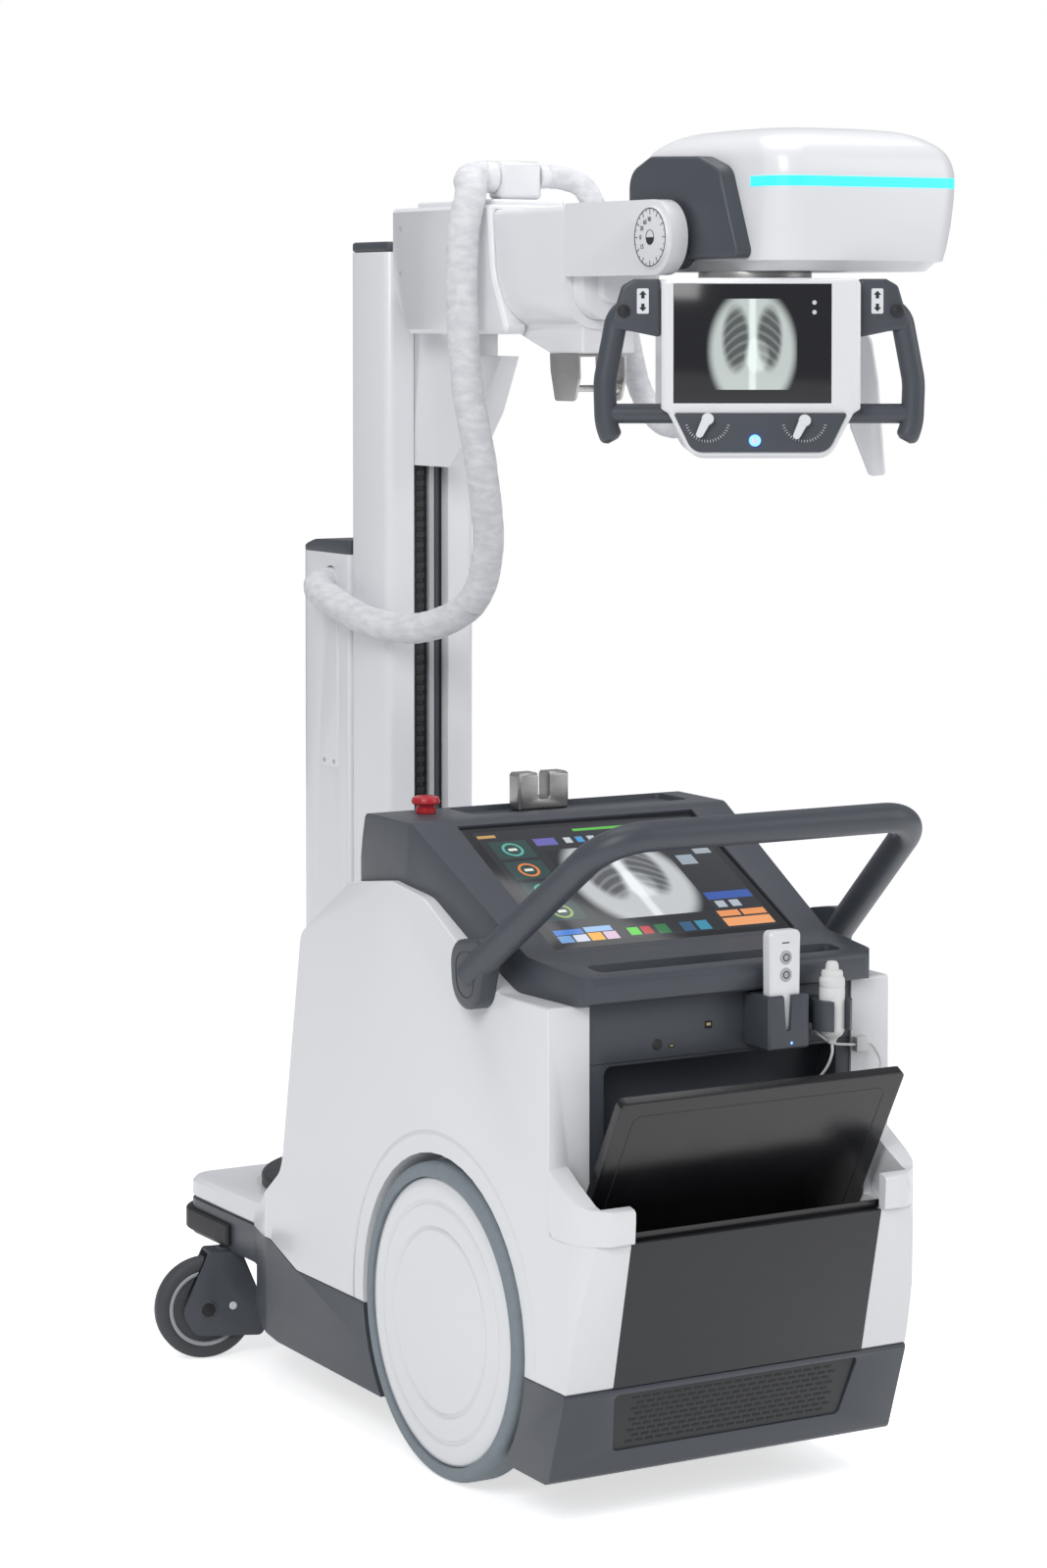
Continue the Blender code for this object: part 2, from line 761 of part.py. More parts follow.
def make_bin():
    """The detector's bin: front panel, liner and the two horns at its mouth."""
    foot = SKIRT_TOP + GAP
    panel = [
        bin_front(foot),
        (-0.3440, foot, 0),
        (-0.3920, BIN_RIM, 0.002),
        bin_front(BIN_RIM),
    ]
    place(prism("bin_panel", "X", panel, -BIN_HALF, BIN_HALF), "root", "dark")

    low = TRAY_FLOOR - TRAY_WALL
    liner = [
        lean_at(BAY_FLOOR - 0.001, TRAY_BACK + TRAY_WALL),
        lean_at(low, TRAY_BACK + TRAY_WALL),
        bin_front(low, GAP),
        bin_front(BIN_LIP, GAP),
        bin_front(BIN_LIP, GAP + TRAY_WALL),
        bin_front(TRAY_FLOOR, GAP + TRAY_WALL),
        lean_at(TRAY_FLOOR, TRAY_BACK),
        lean_at(BAY_FLOOR - 0.001, TRAY_BACK),
    ]
    place(prism("bin_tray", "X", liner, -TRAY_HALF, TRAY_HALF), "root", "black")

    side_view = [
        (BODY_FRONT - GAP - BODY_EDGE, BIN_RIM + GAP, 0),
        (-0.4000, BIN_RIM + GAP, 0.003),
        (-0.4030, 0.454, 0.008),
        (-0.3750, 0.460, 0.020),
        (-0.3350, 0.480, 0.020),
        (BODY_FRONT - GAP, 0.500, 0),
        (BODY_FRONT - GAP, BIN_RIM + GAP + BODY_EDGE, 0),
    ]
    for name, side in (("left", -1), ("right", 1)):
        ends = sorted((side * BIN_HALF, side * (HALF_WIDTH - GAP)))
        horn = prism("bin_horn_" + name, "X", side_view, *ends, steps=5)
        keep(horn, plan_tool("horn_plan", 0.3, 0.6))
        ends = sorted((0, side * 0.2495))
        scoop = [
            (bin_front(BIN_LIP)[0] - GAP, 0.3, 0),
            (-0.2, 0.3, 0),
            (-0.2, 0.6, 0),
            (bin_front(0.6)[0] + 0.04, 0.6, 0),
        ]
        shape(horn, prism("horn_scoop", "X", scoop, *ends))
        place(horn, "root", "white")

    detector = box("detector", (-DETECTOR_WIDE / 2, -DETECTOR_THICK / 2, 0),
                   (DETECTOR_WIDE / 2, DETECTOR_THICK / 2, DETECTOR_LONG), edge=DETECTOR_EDGE)
    detector.location = (0, DETECTOR_Y, DETECTOR_Z)
    detector.rotation_euler = (DETECTOR_LEAN, 0, 0)
    place(detector, "detector_lift", "black")


# Operator's console


SCREEN_LEAN = math.atan2(0.918 - 0.769, 0.105 + 0.190)
SCREEN_MIDDLE = (-0.0425, 0.8435)
SCREEN_WIDE = 0.400
SCREEN_LONG = 0.310
SCREEN_DEEP = 0.010
PIVOT_Y = -0.125
PIVOT_Z = 0.740
GRIP_RADIUS = 0.021


def screen_block(name, grow, low, high, edge=0.0):
    """A slab lying in the console's sloping face."""
    half_x = SCREEN_WIDE / 2 + grow
    half_y = SCREEN_LONG / 2 + grow
    slab = box(name, (-half_x, -half_y, low), (half_x, half_y, high), edge)
    slab.location = (0, *SCREEN_MIDDLE)
    slab.rotation_euler = (SCREEN_LEAN, 0, 0)
    return slab


def make_console():
    """The dark console: sloping screen, pen tray at the front, raised back."""
    side_view = [
        (-0.322, LIP_BOTTOM, 0.008),
        (-0.327, 0.757, 0.012),
        (-0.190, 0.769, 0.030),
        (0.110, 0.9205, 0.025),
        (0.250, 0.921, 0.012),
        *UNDERSIDE,
    ]
    console = prism("console_housing", "X", side_view, -0.270, 0.270, edge=0.008)
    plan = [
        (-0.240, -0.327, 0.030),
        (0.240, -0.327, 0.030),
        (0.268, 0.120, 0.060),
        (0.268, 0.280, 0.020),
        (-0.268, 0.280, 0.020),
        (-0.268, 0.120, 0.060),
    ]
    keep(console, prism("console_plan", "Z", plan, 0.6, 1.0))
    shape(console, screen_block("screen_recess", GAP, -SCREEN_DEEP, 0.05))
    tray = [
        (-0.200, -0.302, 0.012),
        (0.200, -0.302, 0.012),
        (0.200, -0.262, 0.012),
        (-0.200, -0.262, 0.012),
    ]
    shape(console, prism("pen_tray", "Z", tray, 0.748, 0.9))
    shelf = [
        (-0.140, 0.150, 0.012),
        (0.230, 0.150, 0.012),
        (0.230, 0.238, 0.012),
        (-0.140, 0.238, 0.012),
    ]
    shape(console, prism("rear_shelf", "Z", shelf, 0.913, 0.99))
    place(console, "root", "slate")

    screen = screen_block("console_screen", 0, GAP - SCREEN_DEEP, -0.003)
    place(screen, "root", "black")

    stop = turned("stop_button", "Z", (-0.192, 0.205, 0.921 + GAP),
                  [(0, 0.012), (0.008, 0.012), (0.010, 0.019), (0.021, 0.021), (0.025, 0.017)], 28)
    place(stop, "root", "red")

    catch = box("arm_catch", (-0.039, 0.196, 0.913 + GAP), (0.048, 0.230, 0.970), edge=0.004)
    slot = [
        (-0.006, 0.930, 0.005),
        (0.014, 0.930, 0.005),
        (0.014, 1.0, 0),
        (-0.006, 1.0, 0),
    ]
    shape(catch, prism("catch_slot", "Y", slot, 0.1, 0.3))
    place(catch, "root", "steel")


def make_push_handle():
    """A bent tube across the operator's end, on a drop-shaped plate each side."""
    corners = [(-0.3020, PIVOT_Y, PIVOT_Z), (-0.2520, -0.410, 0.957)]
    left = [(*corners[0], 0), (*corners[1], 0.070)]
    right = [(-x, y, z, radius) for x, y, z, radius in reversed(left)]
    handle = sweep("push_handle", bent_path(left + right, 6), GRIP_RADIUS, 12)
    for side in (-1, 1):
        ends = sorted((side * (HALF_WIDTH + GAP), side * 0.310))
        drop = [
            (-0.1850, 0.7980, 0.020),
            (-0.0780, 0.7830, 0.032),
            (-0.0850, 0.6850, 0.040),
            (-0.1500, 0.6950, 0.035),
        ]
        join(handle, prism("pivot_plate", "X", drop, *ends, edge=0.003, steps=8))
    place(handle, "root", "slate")


# Operator's end: panel, remote control and hand switch


PANEL_FACE = -0.297
HOLDER = ((0.035, -0.362, 0.639), (0.103, PANEL_FACE - GAP, 0.714))
REMOTE_X = (0.0415, 0.0930)
REMOTE_Y = (-0.3550, -0.3340)
SWITCH_X = 0.1445
SWITCH_Y = -0.355
SWITCH_FOOT = 0.640
CORD_RADIUS = 0.002
HANK_Y = (-0.285, -0.262)
HANK_X = (-0.100, 0.060)
HANK_RADIUS = 0.025
CLIP_MIDDLE = (0.227, 0.624)
BAY_RIM = 0.512


def make_panel():
    """The dark equipment panel, with a shallow bay behind the detector."""
    panel = box("equipment_panel", (-BAY_HALF + GAP, PANEL_FACE, BAY_FLOOR + GAP),
                (BAY_HALF - GAP, BAY_BACK - GAP, LIP_BOTTOM - GAP))
    bay = [(-0.190, BAY_RIM, 0.012), (0.190, BAY_RIM, 0.012), (0.190, 0.628, 0.012), (-0.190, 0.628, 0.012)]
    shape(panel, prism("panel_bay", "Y", bay, -0.4, -0.252))
    place(panel, "root", "dark")


def make_remote():
    """The remote control standing in its slotted cup."""
    holder = box("remote_holder", *HOLDER, edge=0.003)
    inner = box("remote_cup", (REMOTE_X[0] - RUN, REMOTE_Y[0] - RUN, 0.648),
                (REMOTE_X[1] + RUN, REMOTE_Y[1] + RUN, 0.8))
    shape(holder, inner)
    middle = sum(REMOTE_X) / 2
    slot = [
        (middle - 0.004, 0.665, 0.003),
        (middle + 0.004, 0.665, 0.003),
        (middle + 0.012, 0.8, 0),
        (middle - 0.012, 0.8, 0),
    ]
    shape(holder, prism("remote_slot", "Y", slot, -0.4, REMOTE_Y[0] + RUN))
    place(holder, "root", "slate")
    face = [
        (REMOTE_X[0] + 0.014, 0.648 + GAP, 0.003),
        (REMOTE_X[1] - 0.014, 0.648 + GAP, 0.003),
        (REMOTE_X[1] - 0.001, 0.714, 0.010),
        (REMOTE_X[1], 0.803, 0.008),
        (REMOTE_X[0], 0.803, 0.008),
        (REMOTE_X[0] + 0.001, 0.714, 0.010),
    ]
    remote = prism("remote_control", "Y", face, *REMOTE_Y, edge=0.003)
    place(remote, "root", "white")


def make_hand_switch():
    """The exposure switch in its spring clip, and its cord with the slack kept as a hank."""
    clip = turned("switch_clip", "Z", (SWITCH_X, SWITCH_Y, 0), [
        (0.660, 0.0186), (0.660, 0.028), (0.702, 0.028), (0.702, 0.0186)], 32, closed=True)
    stem = box("clip_stem", (SWITCH_X - 0.012, SWITCH_Y + 0.022, 0.664),
               (SWITCH_X + 0.012, PANEL_FACE - GAP, 0.698))
    join(clip, stem)
    shape(clip, box("clip_mouth", (SWITCH_X - 0.013, SWITCH_Y - 0.05, 0.6),
                    (SWITCH_X + 0.013, SWITCH_Y, 0.8)))
    place(clip, "root", "slate")
    profile = [
        (SWITCH_FOOT, 0.0060),
        (SWITCH_FOOT + 0.008, 0.0100),
        (SWITCH_FOOT + 0.012, 0.0150),
        (SWITCH_FOOT + 0.022, 0.0180),
        (0.730, 0.0180),
        (0.734, 0.0155),
        (0.742, 0.0150),
        (0.743, 0.0090),
        (0.752, 0.0085),
        (0.755, 0.0060),
    ]
    place(turned("hand_switch", "Z", (SWITCH_X, SWITCH_Y, 0), profile, 16), "root", "white")

    middle = (HANK_Y[0] + HANK_Y[1]) / 2
    level = BAY_RIM + GAP + HANK_RADIUS
    outline = [
        (HANK_X[0], level - HANK_RADIUS, HANK_RADIUS * 0.999),
        (HANK_X[1], level - HANK_RADIUS, HANK_RADIUS * 0.999),
        (HANK_X[1], level + HANK_RADIUS, HANK_RADIUS * 0.999),
        (HANK_X[0], level + HANK_RADIUS, HANK_RADIUS * 0.999),
    ]
    hank = prism("cord_hank", "Y", outline, *HANK_Y, steps=8)
    place(hank, "root", "cord")
    route = [
        (SWITCH_X, SWITCH_Y, SWITCH_FOOT - GAP),
        (SWITCH_X, SWITCH_Y, 0.625),
        (0.140, -0.347, 0.603),
        (0.128, -0.326, 0.575),
        (0.112, -0.298, 0.550),
        (0.092, -0.277, 0.540),
        (HANK_X[1] + 0.010, middle + 0.0055, level),
        (HANK_X[1] + GAP, middle + 0.0055, level),
    ]
    place(cord("hand_switch_cord", smooth_path(route, 3), CORD_RADIUS), "root", "cord")
    tail = [
        (HANK_X[1] + GAP, middle - 0.0055, level),
        (HANK_X[1] + 0.010, middle - 0.0055, level),
        (0.095, -0.283, 0.534),
        (0.130, -0.288, 0.528),
        (0.170, -0.304, 0.532),
        (0.205, -0.318, 0.545),
        (0.238, -0.322, 0.568),
        (0.254, -0.318, 0.595),
        (0.2445, -0.3087, 0.6215),
        (CLIP_MIDDLE[0], -0.3085, CLIP_MIDDLE[1]),
        (0.2100, -0.3087, 0.6245),
        (0.172, -0.315, 0.631),
        (0.153, -0.3130, 0.6430),
        (0.150, PANEL_FACE - 0.008, 0.647),
        (0.150, PANEL_FACE - GAP, 0.647),
    ]
    place(cord("cord_tail", smooth_path(tail, 3), CORD_RADIUS), "root", "cord")
    x, z = CLIP_MIDDLE
    saddle = box("cord_clip", (x - 0.010, -0.3120, z - 0.010), (x + 0.010, BODY_FRONT - GAP, z + 0.010))
    shape(saddle, box("clip_way", (x - 0.02, -0.3113, z - 0.0036), (x + 0.02, -0.3057, z + 0.0034)))
    place(saddle, "root", "white")


# Column and mast


HOSE_RADIUS = 0.024
ARM_HOSE_RADIUS = 0.018

def make_column():
    """The turntable, and the housing that the mast slides in."""
    ring = turned("column_ring", "Z", (0, COLUMN_Y, 0), [
        (DECK_TOP + RUN, RING_RADIUS), (RING_TOP - 0.004, RING_RADIUS), (RING_TOP, RING_RADIUS - 0.004)], 64)
    place(ring, "column", "slate")

    plan = [
        (-HOUSING_HALF, HOUSING_FRONT, 0.006),
        (-TONGUE_HALF - RUN, HOUSING_FRONT, 0),
        (-TONGUE_HALF - RUN, TONGUE_BACK + RUN, 0),
        (TONGUE_HALF + RUN, TONGUE_BACK + RUN, 0),
        (TONGUE_HALF + RUN, HOUSING_FRONT, 0),
        (HOUSING_HALF, HOUSING_FRONT, 0.006),
        (HOUSING_HALF, HOUSING_BACK, 0.040),
        (-HOUSING_HALF, HOUSING_BACK, 0.040),
    ]
    housing = prism("rear_housing", "Z", plan, RING_TOP + GAP, HOUSING_TOP)
    shape(housing, turned("hose_port", "X", (0, HOSE_PORT_Y, HOSE_PORT_Z),
                          [(-0.1, HOSE_RADIUS + 0.003), (-0.060, HOSE_RADIUS + 0.003)], 24))
    place(housing, "column", "white")
    cap = prism("rear_housing_cap", "Z", plan, HOUSING_TOP + GAP, HOUSING_TOP + 0.03)
    arch = [
        (0.60, 1.20, 0),
        (0.90, 1.20, 0),
        (0.90, HOUSING_TOP + 0.002, 0),
        (0.846, HOUSING_TOP + 0.002, 0.02),
        (0.780, HOUSING_TOP + HOUSING_CAP, 0.06),
        (0.60, HOUSING_TOP + HOUSING_CAP + 0.004, 0),
    ]
    keep(cap, prism("cap_arch", "X", arch, -0.2, 0.2))
    place(cap, "column", "slate")


def make_mast():
    """The sliding mast: a slotted section with a tongue behind, and the rack in its slot."""
    plan = [
        (-MAST_HALF, MAST_FRONT, 0.014),
        (-SLOT_HALF, MAST_FRONT, 0.002),
        (-SLOT_HALF, MAST_FRONT + SLOT_DEPTH, 0),
        (SLOT_HALF, MAST_FRONT + SLOT_DEPTH, 0),
        (SLOT_HALF, MAST_FRONT, 0.002),
        (MAST_HALF, MAST_FRONT, 0.014),
        (MAST_HALF, MAST_BACK, 0.010),
        (TONGUE_HALF, MAST_BACK, 0),
        (TONGUE_HALF, TONGUE_BACK, 0),
        (-TONGUE_HALF, TONGUE_BACK, 0),
        (-TONGUE_HALF, MAST_BACK, 0),
        (-MAST_HALF, MAST_BACK, 0.010),
    ]
    place(prism("mast", "Z", plan, MAST_BOTTOM, MAST_TOP), "mast_slide", "white")
    lid = [plan[0], plan[5], plan[6], plan[-1]]
    cap = prism("mast_cap", "Z", lid, MAST_TOP + GAP, MAST_TOP + MAST_CAP, edge=0.003)
    place(cap, "mast_slide", "slate")

    back = MAST_FRONT + SLOT_DEPTH - GAP
    face = back - RACK_DEPTH
    insert = box("rack_insert", (-SLOT_HALF + GAP, face + 0.012, MAST_BOTTOM + 0.003),
                 (SLOT_HALF - GAP, back, MAST_TOP - 0.003))
    join(insert, box("guide_rail", (0.003, face + 0.002, MAST_BOTTOM + 0.005),
                     (0.021, face + 0.013, MAST_TOP - 0.005)))
    teeth = int((MAST_TOP - MAST_BOTTOM - 0.02) / RACK_PITCH)
    comb = [(face + 0.013, MAST_BOTTOM + 0.010, 0)]
    for tooth in range(teeth):
        low = MAST_BOTTOM + 0.010 + tooth * RACK_PITCH
        comb.append((face, low, 0))
        comb.append((face, low + RACK_PITCH / 2, 0))
        comb.append((face + RACK_TOOTH, low + RACK_PITCH / 2, 0))
        comb.append((face + RACK_TOOTH, low + RACK_PITCH, 0))
    comb.append((face + 0.013, MAST_BOTTOM + 0.010 + teeth * RACK_PITCH, 0))
    join(insert, prism("rack_teeth", "X", comb, -0.026, -0.007))
    place(insert, "mast_slide", "dark")


ARM_BELLY = 0.052
REACH_BELLY = 0.044
ARM_RETRACT = 0.150


def arm_section(half, low, high, corner):
    """The arm's cross-section: a flat top and a rounded belly."""
    return [
        (-half, low, corner),
        (half, low, corner),
        (half, high, 0.010),
        (-half, high, 0.010),
    ]


def make_carriage():
    """The lift carriage, hollow for the arm, with the fin that runs in the mast's slot."""
    side_view = [
        (0.150, CARRIAGE_BOTTOM, 0.010),
        (0.460, CARRIAGE_BOTTOM, 0.010),
        (CARRIAGE_REAR, 1.697, 0.010),
        (CARRIAGE_REAR, CARRIAGE_TOP, 0.006),
        (0.207, CARRIAGE_TOP, 0.006),
        (0.196, 1.710, 0.080),
    ]
    carriage = prism("carriage_housing", "X", side_view, -CARRIAGE_HALF, CARRIAGE_HALF, edge=0.005)
    join(carriage, box("top_cover", (-0.062, 0.235, CARRIAGE_TOP - 0.002), (0.062, 0.470, CARRIAGE_TOP + 0.009),
                       edge=0.003))
    guide = MAST_FRONT + SLOT_DEPTH - RACK_DEPTH - RUN - GAP
    fin_view = [
        (guide, GUSSET_BOTTOM, 0),
        (guide, 1.735, 0),
        (0.500, 1.735, 0),
        (0.400, 1.640, 0),
        (0.270, 1.622, 0.004),
        (0.345, 1.503, 0.060),
        (0.435, GUSSET_BOTTOM, 0.010),
    ]
    fin = prism("lift_fin", "X", fin_view, -SLOT_HALF + RUN, SLOT_HALF - RUN)
    taper = [
        (-SLOT_HALF + RUN, 0.6, 0),
        (-SLOT_HALF + RUN, 0.490, 0),
        (-0.012, 0.24, 0),
        (0.012, 0.24, 0),
        (SLOT_HALF - RUN, 0.490, 0),
        (SLOT_HALF - RUN, 0.6, 0),
    ]
    keep(fin, prism("fin_taper", "Z", taper, 1.3, 1.9))
    join(carriage, fin)
    belly = arm_section(ARM_HALF + RUN, ARM_BOTTOM - RUN, ARM_TOP + RUN, ARM_BELLY + RUN)
    shape(carriage, prism("arm_way", "Y", belly, 0.0, ARM_REAR + ARM_RETRACT + 0.005, steps=8))
    shape(carriage, box("lock_way", (-CHANNEL_HALF, 0.0, 1.588), (CHANNEL_HALF, CHANNEL_REAR, 1.64)))
    place(carriage, "carriage_lift", "white")
    bracket = box("hose_bracket", (-0.037, 0.255, CARRIAGE_TOP + 0.009 + GAP), (0.037, 0.297, 1.880), edge=0.006)
    place(bracket, "carriage_lift", "white")


def make_arm():
    """Two nested arm stages, the parking lock below and the bar that carries the head."""
    belly = arm_section(ARM_HALF, ARM_BOTTOM, ARM_TOP, ARM_BELLY)
    outer = prism("arm_outer", "Y", belly, ARM_FRONT, ARM_REAR, steps=8)
    under = [
        (0.004, LOCK_BOTTOM, 0.004),
        (0.099, LOCK_BOTTOM, 0.006),
        (0.187, 1.622, 0.006),
        (0.187, 1.650, 0),
        (0.004, 1.650, 0),
    ]
    join(outer, prism("under_box", "X", under, -LOCK_HALF, LOCK_HALF, edge=0.003))
    bore = arm_section(REACH_HALF + RUN, REACH_BOTTOM - RUN, REACH_TOP + RUN, REACH_BELLY + RUN)
    shape(outer, prism("reach_way", "Y", bore, -0.1, 0.5, steps=8))
    place(outer, "arm_slide", "white")

    plate = [
        (0.020, LOCK_BOTTOM - GAP, 0),
        (0.100, LOCK_BOTTOM - GAP, 0),
        (0.098, 1.570, 0),
        (0.085, 1.5257, 0.006),
        (0.030, 1.5257, 0.012),
        (0.018, 1.560, 0),
    ]
    lock = prism("lock_bracket", "X", plate, -0.043, 0.038)
    shape(lock, box("lock_throat", (-0.039, -0.1, 1.4), (0.034, 0.2, 1.590)))
    join(lock, turned("lock_pin", "X", (0, 0.040, 1.544), [(-0.042, 0.005), (0.037, 0.005)], 16))
    join(lock, turned("lock_bush", "X", (0, 0.040, 1.544), [(0.010, 0.011), (0.0345, 0.011)], 20))
    place(lock, "arm_slide", "steel")

    belly = arm_section(REACH_HALF, REACH_BOTTOM, REACH_TOP, REACH_BELLY)
    inner = prism("arm_inner", "Y", belly, REACH_FRONT, REACH_REAR, steps=8)
    wall = 0.006
    hollow = arm_section(REACH_HALF - wall, REACH_BOTTOM + wall, REACH_TOP - wall, REACH_BELLY - wall)
    shape(inner, prism("inner_hollow", "Y", hollow, REACH_FRONT + 0.010, 0.5, steps=8))
    step = [(-0.040, 1.668, 0.015), (0.050, 1.668, 0.015), (0.050, 1.780, 0.006), (-0.040, 1.780, 0.006)]
    join(inner, prism("end_step", "Y", step, REACH_FRONT - 0.015, REACH_FRONT + 0.002, edge=0.002))
    place(inner, "arm_reach", "white")

    bar_view = [
        (-0.005, TILT_Z + BAR_RADIUS, 0.004),
        (TILT_Y - BAR_RADIUS, TILT_Z + BAR_RADIUS, BAR_RADIUS - 0.001),
        (TILT_Y - BAR_RADIUS, TILT_Z - BAR_RADIUS, BAR_RADIUS - 0.001),
        (-0.005, TILT_Z - BAR_RADIUS, 0.004),
    ]
    bar = prism("arm_bar", "X", bar_view, BAR_OUTER, BAR_INNER, steps=10)
    shape(bar, box("bar_notch", (-REACH_HALF - GAP, REACH_FRONT - GAP, 1.6), (0, 0.1, 1.9)))
    relief = [
        (TILT_Y + 0.011, TILT_Z - BAR_RADIUS - 0.001, 0),
        (TILT_Y + 0.160, TILT_Z - BAR_RADIUS - 0.001, 0),
        (TILT_Y + 0.160, TILT_Z - 0.0257, 0),
    ]
    shape(bar, prism("grip_relief", "X", relief, BAR_OUTER + BAR_WALL, BAR_INNER + 0.001))
    dial = turned("angle_dial", "X", (0, TILT_Y, TILT_Z),
                  [(BAR_OUTER + 0.002, 0.043), (BAR_OUTER - 0.002, 0.043), (BAR_OUTER - 0.003, 0.042)], 48)
    join(bar, dial)
    place(bar, "arm_reach", "white")


# Head


def make_head():
    """The tube head on its pivot pod, and the light strip let into its face."""
    pod_view = [
        (-0.120, 1.727, 0.008),
        (-0.402, 1.727, 0.010),
        (-0.352, 1.850, 0.030),
        (-0.300, 1.867, 0.040),
        (-0.175, 1.871, 0.030),
        (-0.120, 1.850, 0.030),
    ]
    pod = prism("head_pod", "X", pod_view, POD_OUTER, HEAD_LEFT - GAP, edge=0.005)
    join(pod, turned("tilt_boss", "X", (0, TILT_Y, TILT_Z),
                     [(BAR_INNER + GAP, 0.044), (POD_OUTER + 0.001, 0.044)], 40))
    place(pod, "head_tilt", "slate")

    sections = [
        # z, left, right, front, rear, corner radius
        (HEAD_BOTTOM, -0.006, 0.262, -0.438, -0.124, 0.050),
        (1.722, -0.012, 0.270, -0.450, -0.112, 0.050),
        (1.724, HEAD_LEFT, 0.276, -0.456, HEAD_REAR, 0.045),
        (1.740, HEAD_LEFT, 0.279, -0.460, HEAD_REAR, 0.045),
        (STRIP_Z - 0.012, HEAD_LEFT, HEAD_RIGHT, HEAD_FRONT, HEAD_REAR, 0.045),
        (STRIP_Z + 0.014, HEAD_LEFT, HEAD_RIGHT, HEAD_FRONT, HEAD_REAR, 0.045),
        (1.872, HEAD_LEFT + 0.002, 0.278, -0.456, HEAD_REAR - 0.002, 0.045),
        (1.897, 0.014, 0.250, -0.424, -0.142, 0.045),
        (HEAD_TOP, 0.040, 0.215, -0.385, -0.165, 0.045),
    ]
    rings = []
    for z, left, right, front, rear, radius in sections:
        plan = [(left, front, radius), (right, front, radius), (right, rear, radius), (left, rear, radius)]
        rings.append([(x, y, z) for x, y in rounded(plan, 6)])
    head = skin("head_housing", rings)
    depth = 0.004
    inner = [
        (HEAD_RIGHT - depth, STRIP_REAR, 0),
        (HEAD_RIGHT - depth, HEAD_FRONT + depth, 0.041),
        (HEAD_LEFT + depth, HEAD_FRONT + depth, 0.041),
        (HEAD_LEFT + depth, STRIP_REAR, 0),
    ]
    groove = [
        (HEAD_LEFT - 0.05, STRIP_REAR, 0),
        (HEAD_LEFT - 0.05, HEAD_FRONT - 0.05, 0),
        (HEAD_RIGHT + 0.05, HEAD_FRONT - 0.05, 0),
        (HEAD_RIGHT + 0.05, STRIP_REAR, 0),
    ]
    shape(head, prism("strip_groove", "Z", groove + inner, STRIP_Z - STRIP_HIGH / 2, STRIP_Z + STRIP_HIGH / 2, steps=6))
    place(head, "head_tilt", "white")

    outer = [
        (HEAD_LEFT, STRIP_REAR - GAP, 0),
        (HEAD_LEFT, HEAD_FRONT, 0.045),
        (HEAD_RIGHT, HEAD_FRONT, 0.045),
        (HEAD_RIGHT, STRIP_REAR - GAP, 0),
    ]
    lining = [
        (HEAD_RIGHT - depth + GAP, STRIP_REAR - GAP, 0),
        (HEAD_RIGHT - depth + GAP, HEAD_FRONT + depth - GAP, 0.0413),
        (HEAD_LEFT + depth - GAP, HEAD_FRONT + depth - GAP, 0.0413),
        (HEAD_LEFT + depth - GAP, STRIP_REAR - GAP, 0),
    ]
    strip = prism("light_strip", "Z", outer + lining, STRIP_Z - STRIP_HIGH / 2 + GAP,
                  STRIP_Z + STRIP_HIGH / 2 - GAP, steps=6)
    place(strip, "head_tilt", "cyan")

    plate = turned("swivel_plate", "Z", (TURN_X, TURN_Y, 0),
                   [(COLL_TOP + RUN, 0.078), (HEAD_BOTTOM - GAP, 0.078)], 40)
    place(plate, "head_tilt", "steel")


BEZEL = 0.0135
GRIP_DEPTH = 0.045
GRIP_BAR = 0.0135
GRIP_BAR_Z = 1.517
GRIP_REACH = 0.207


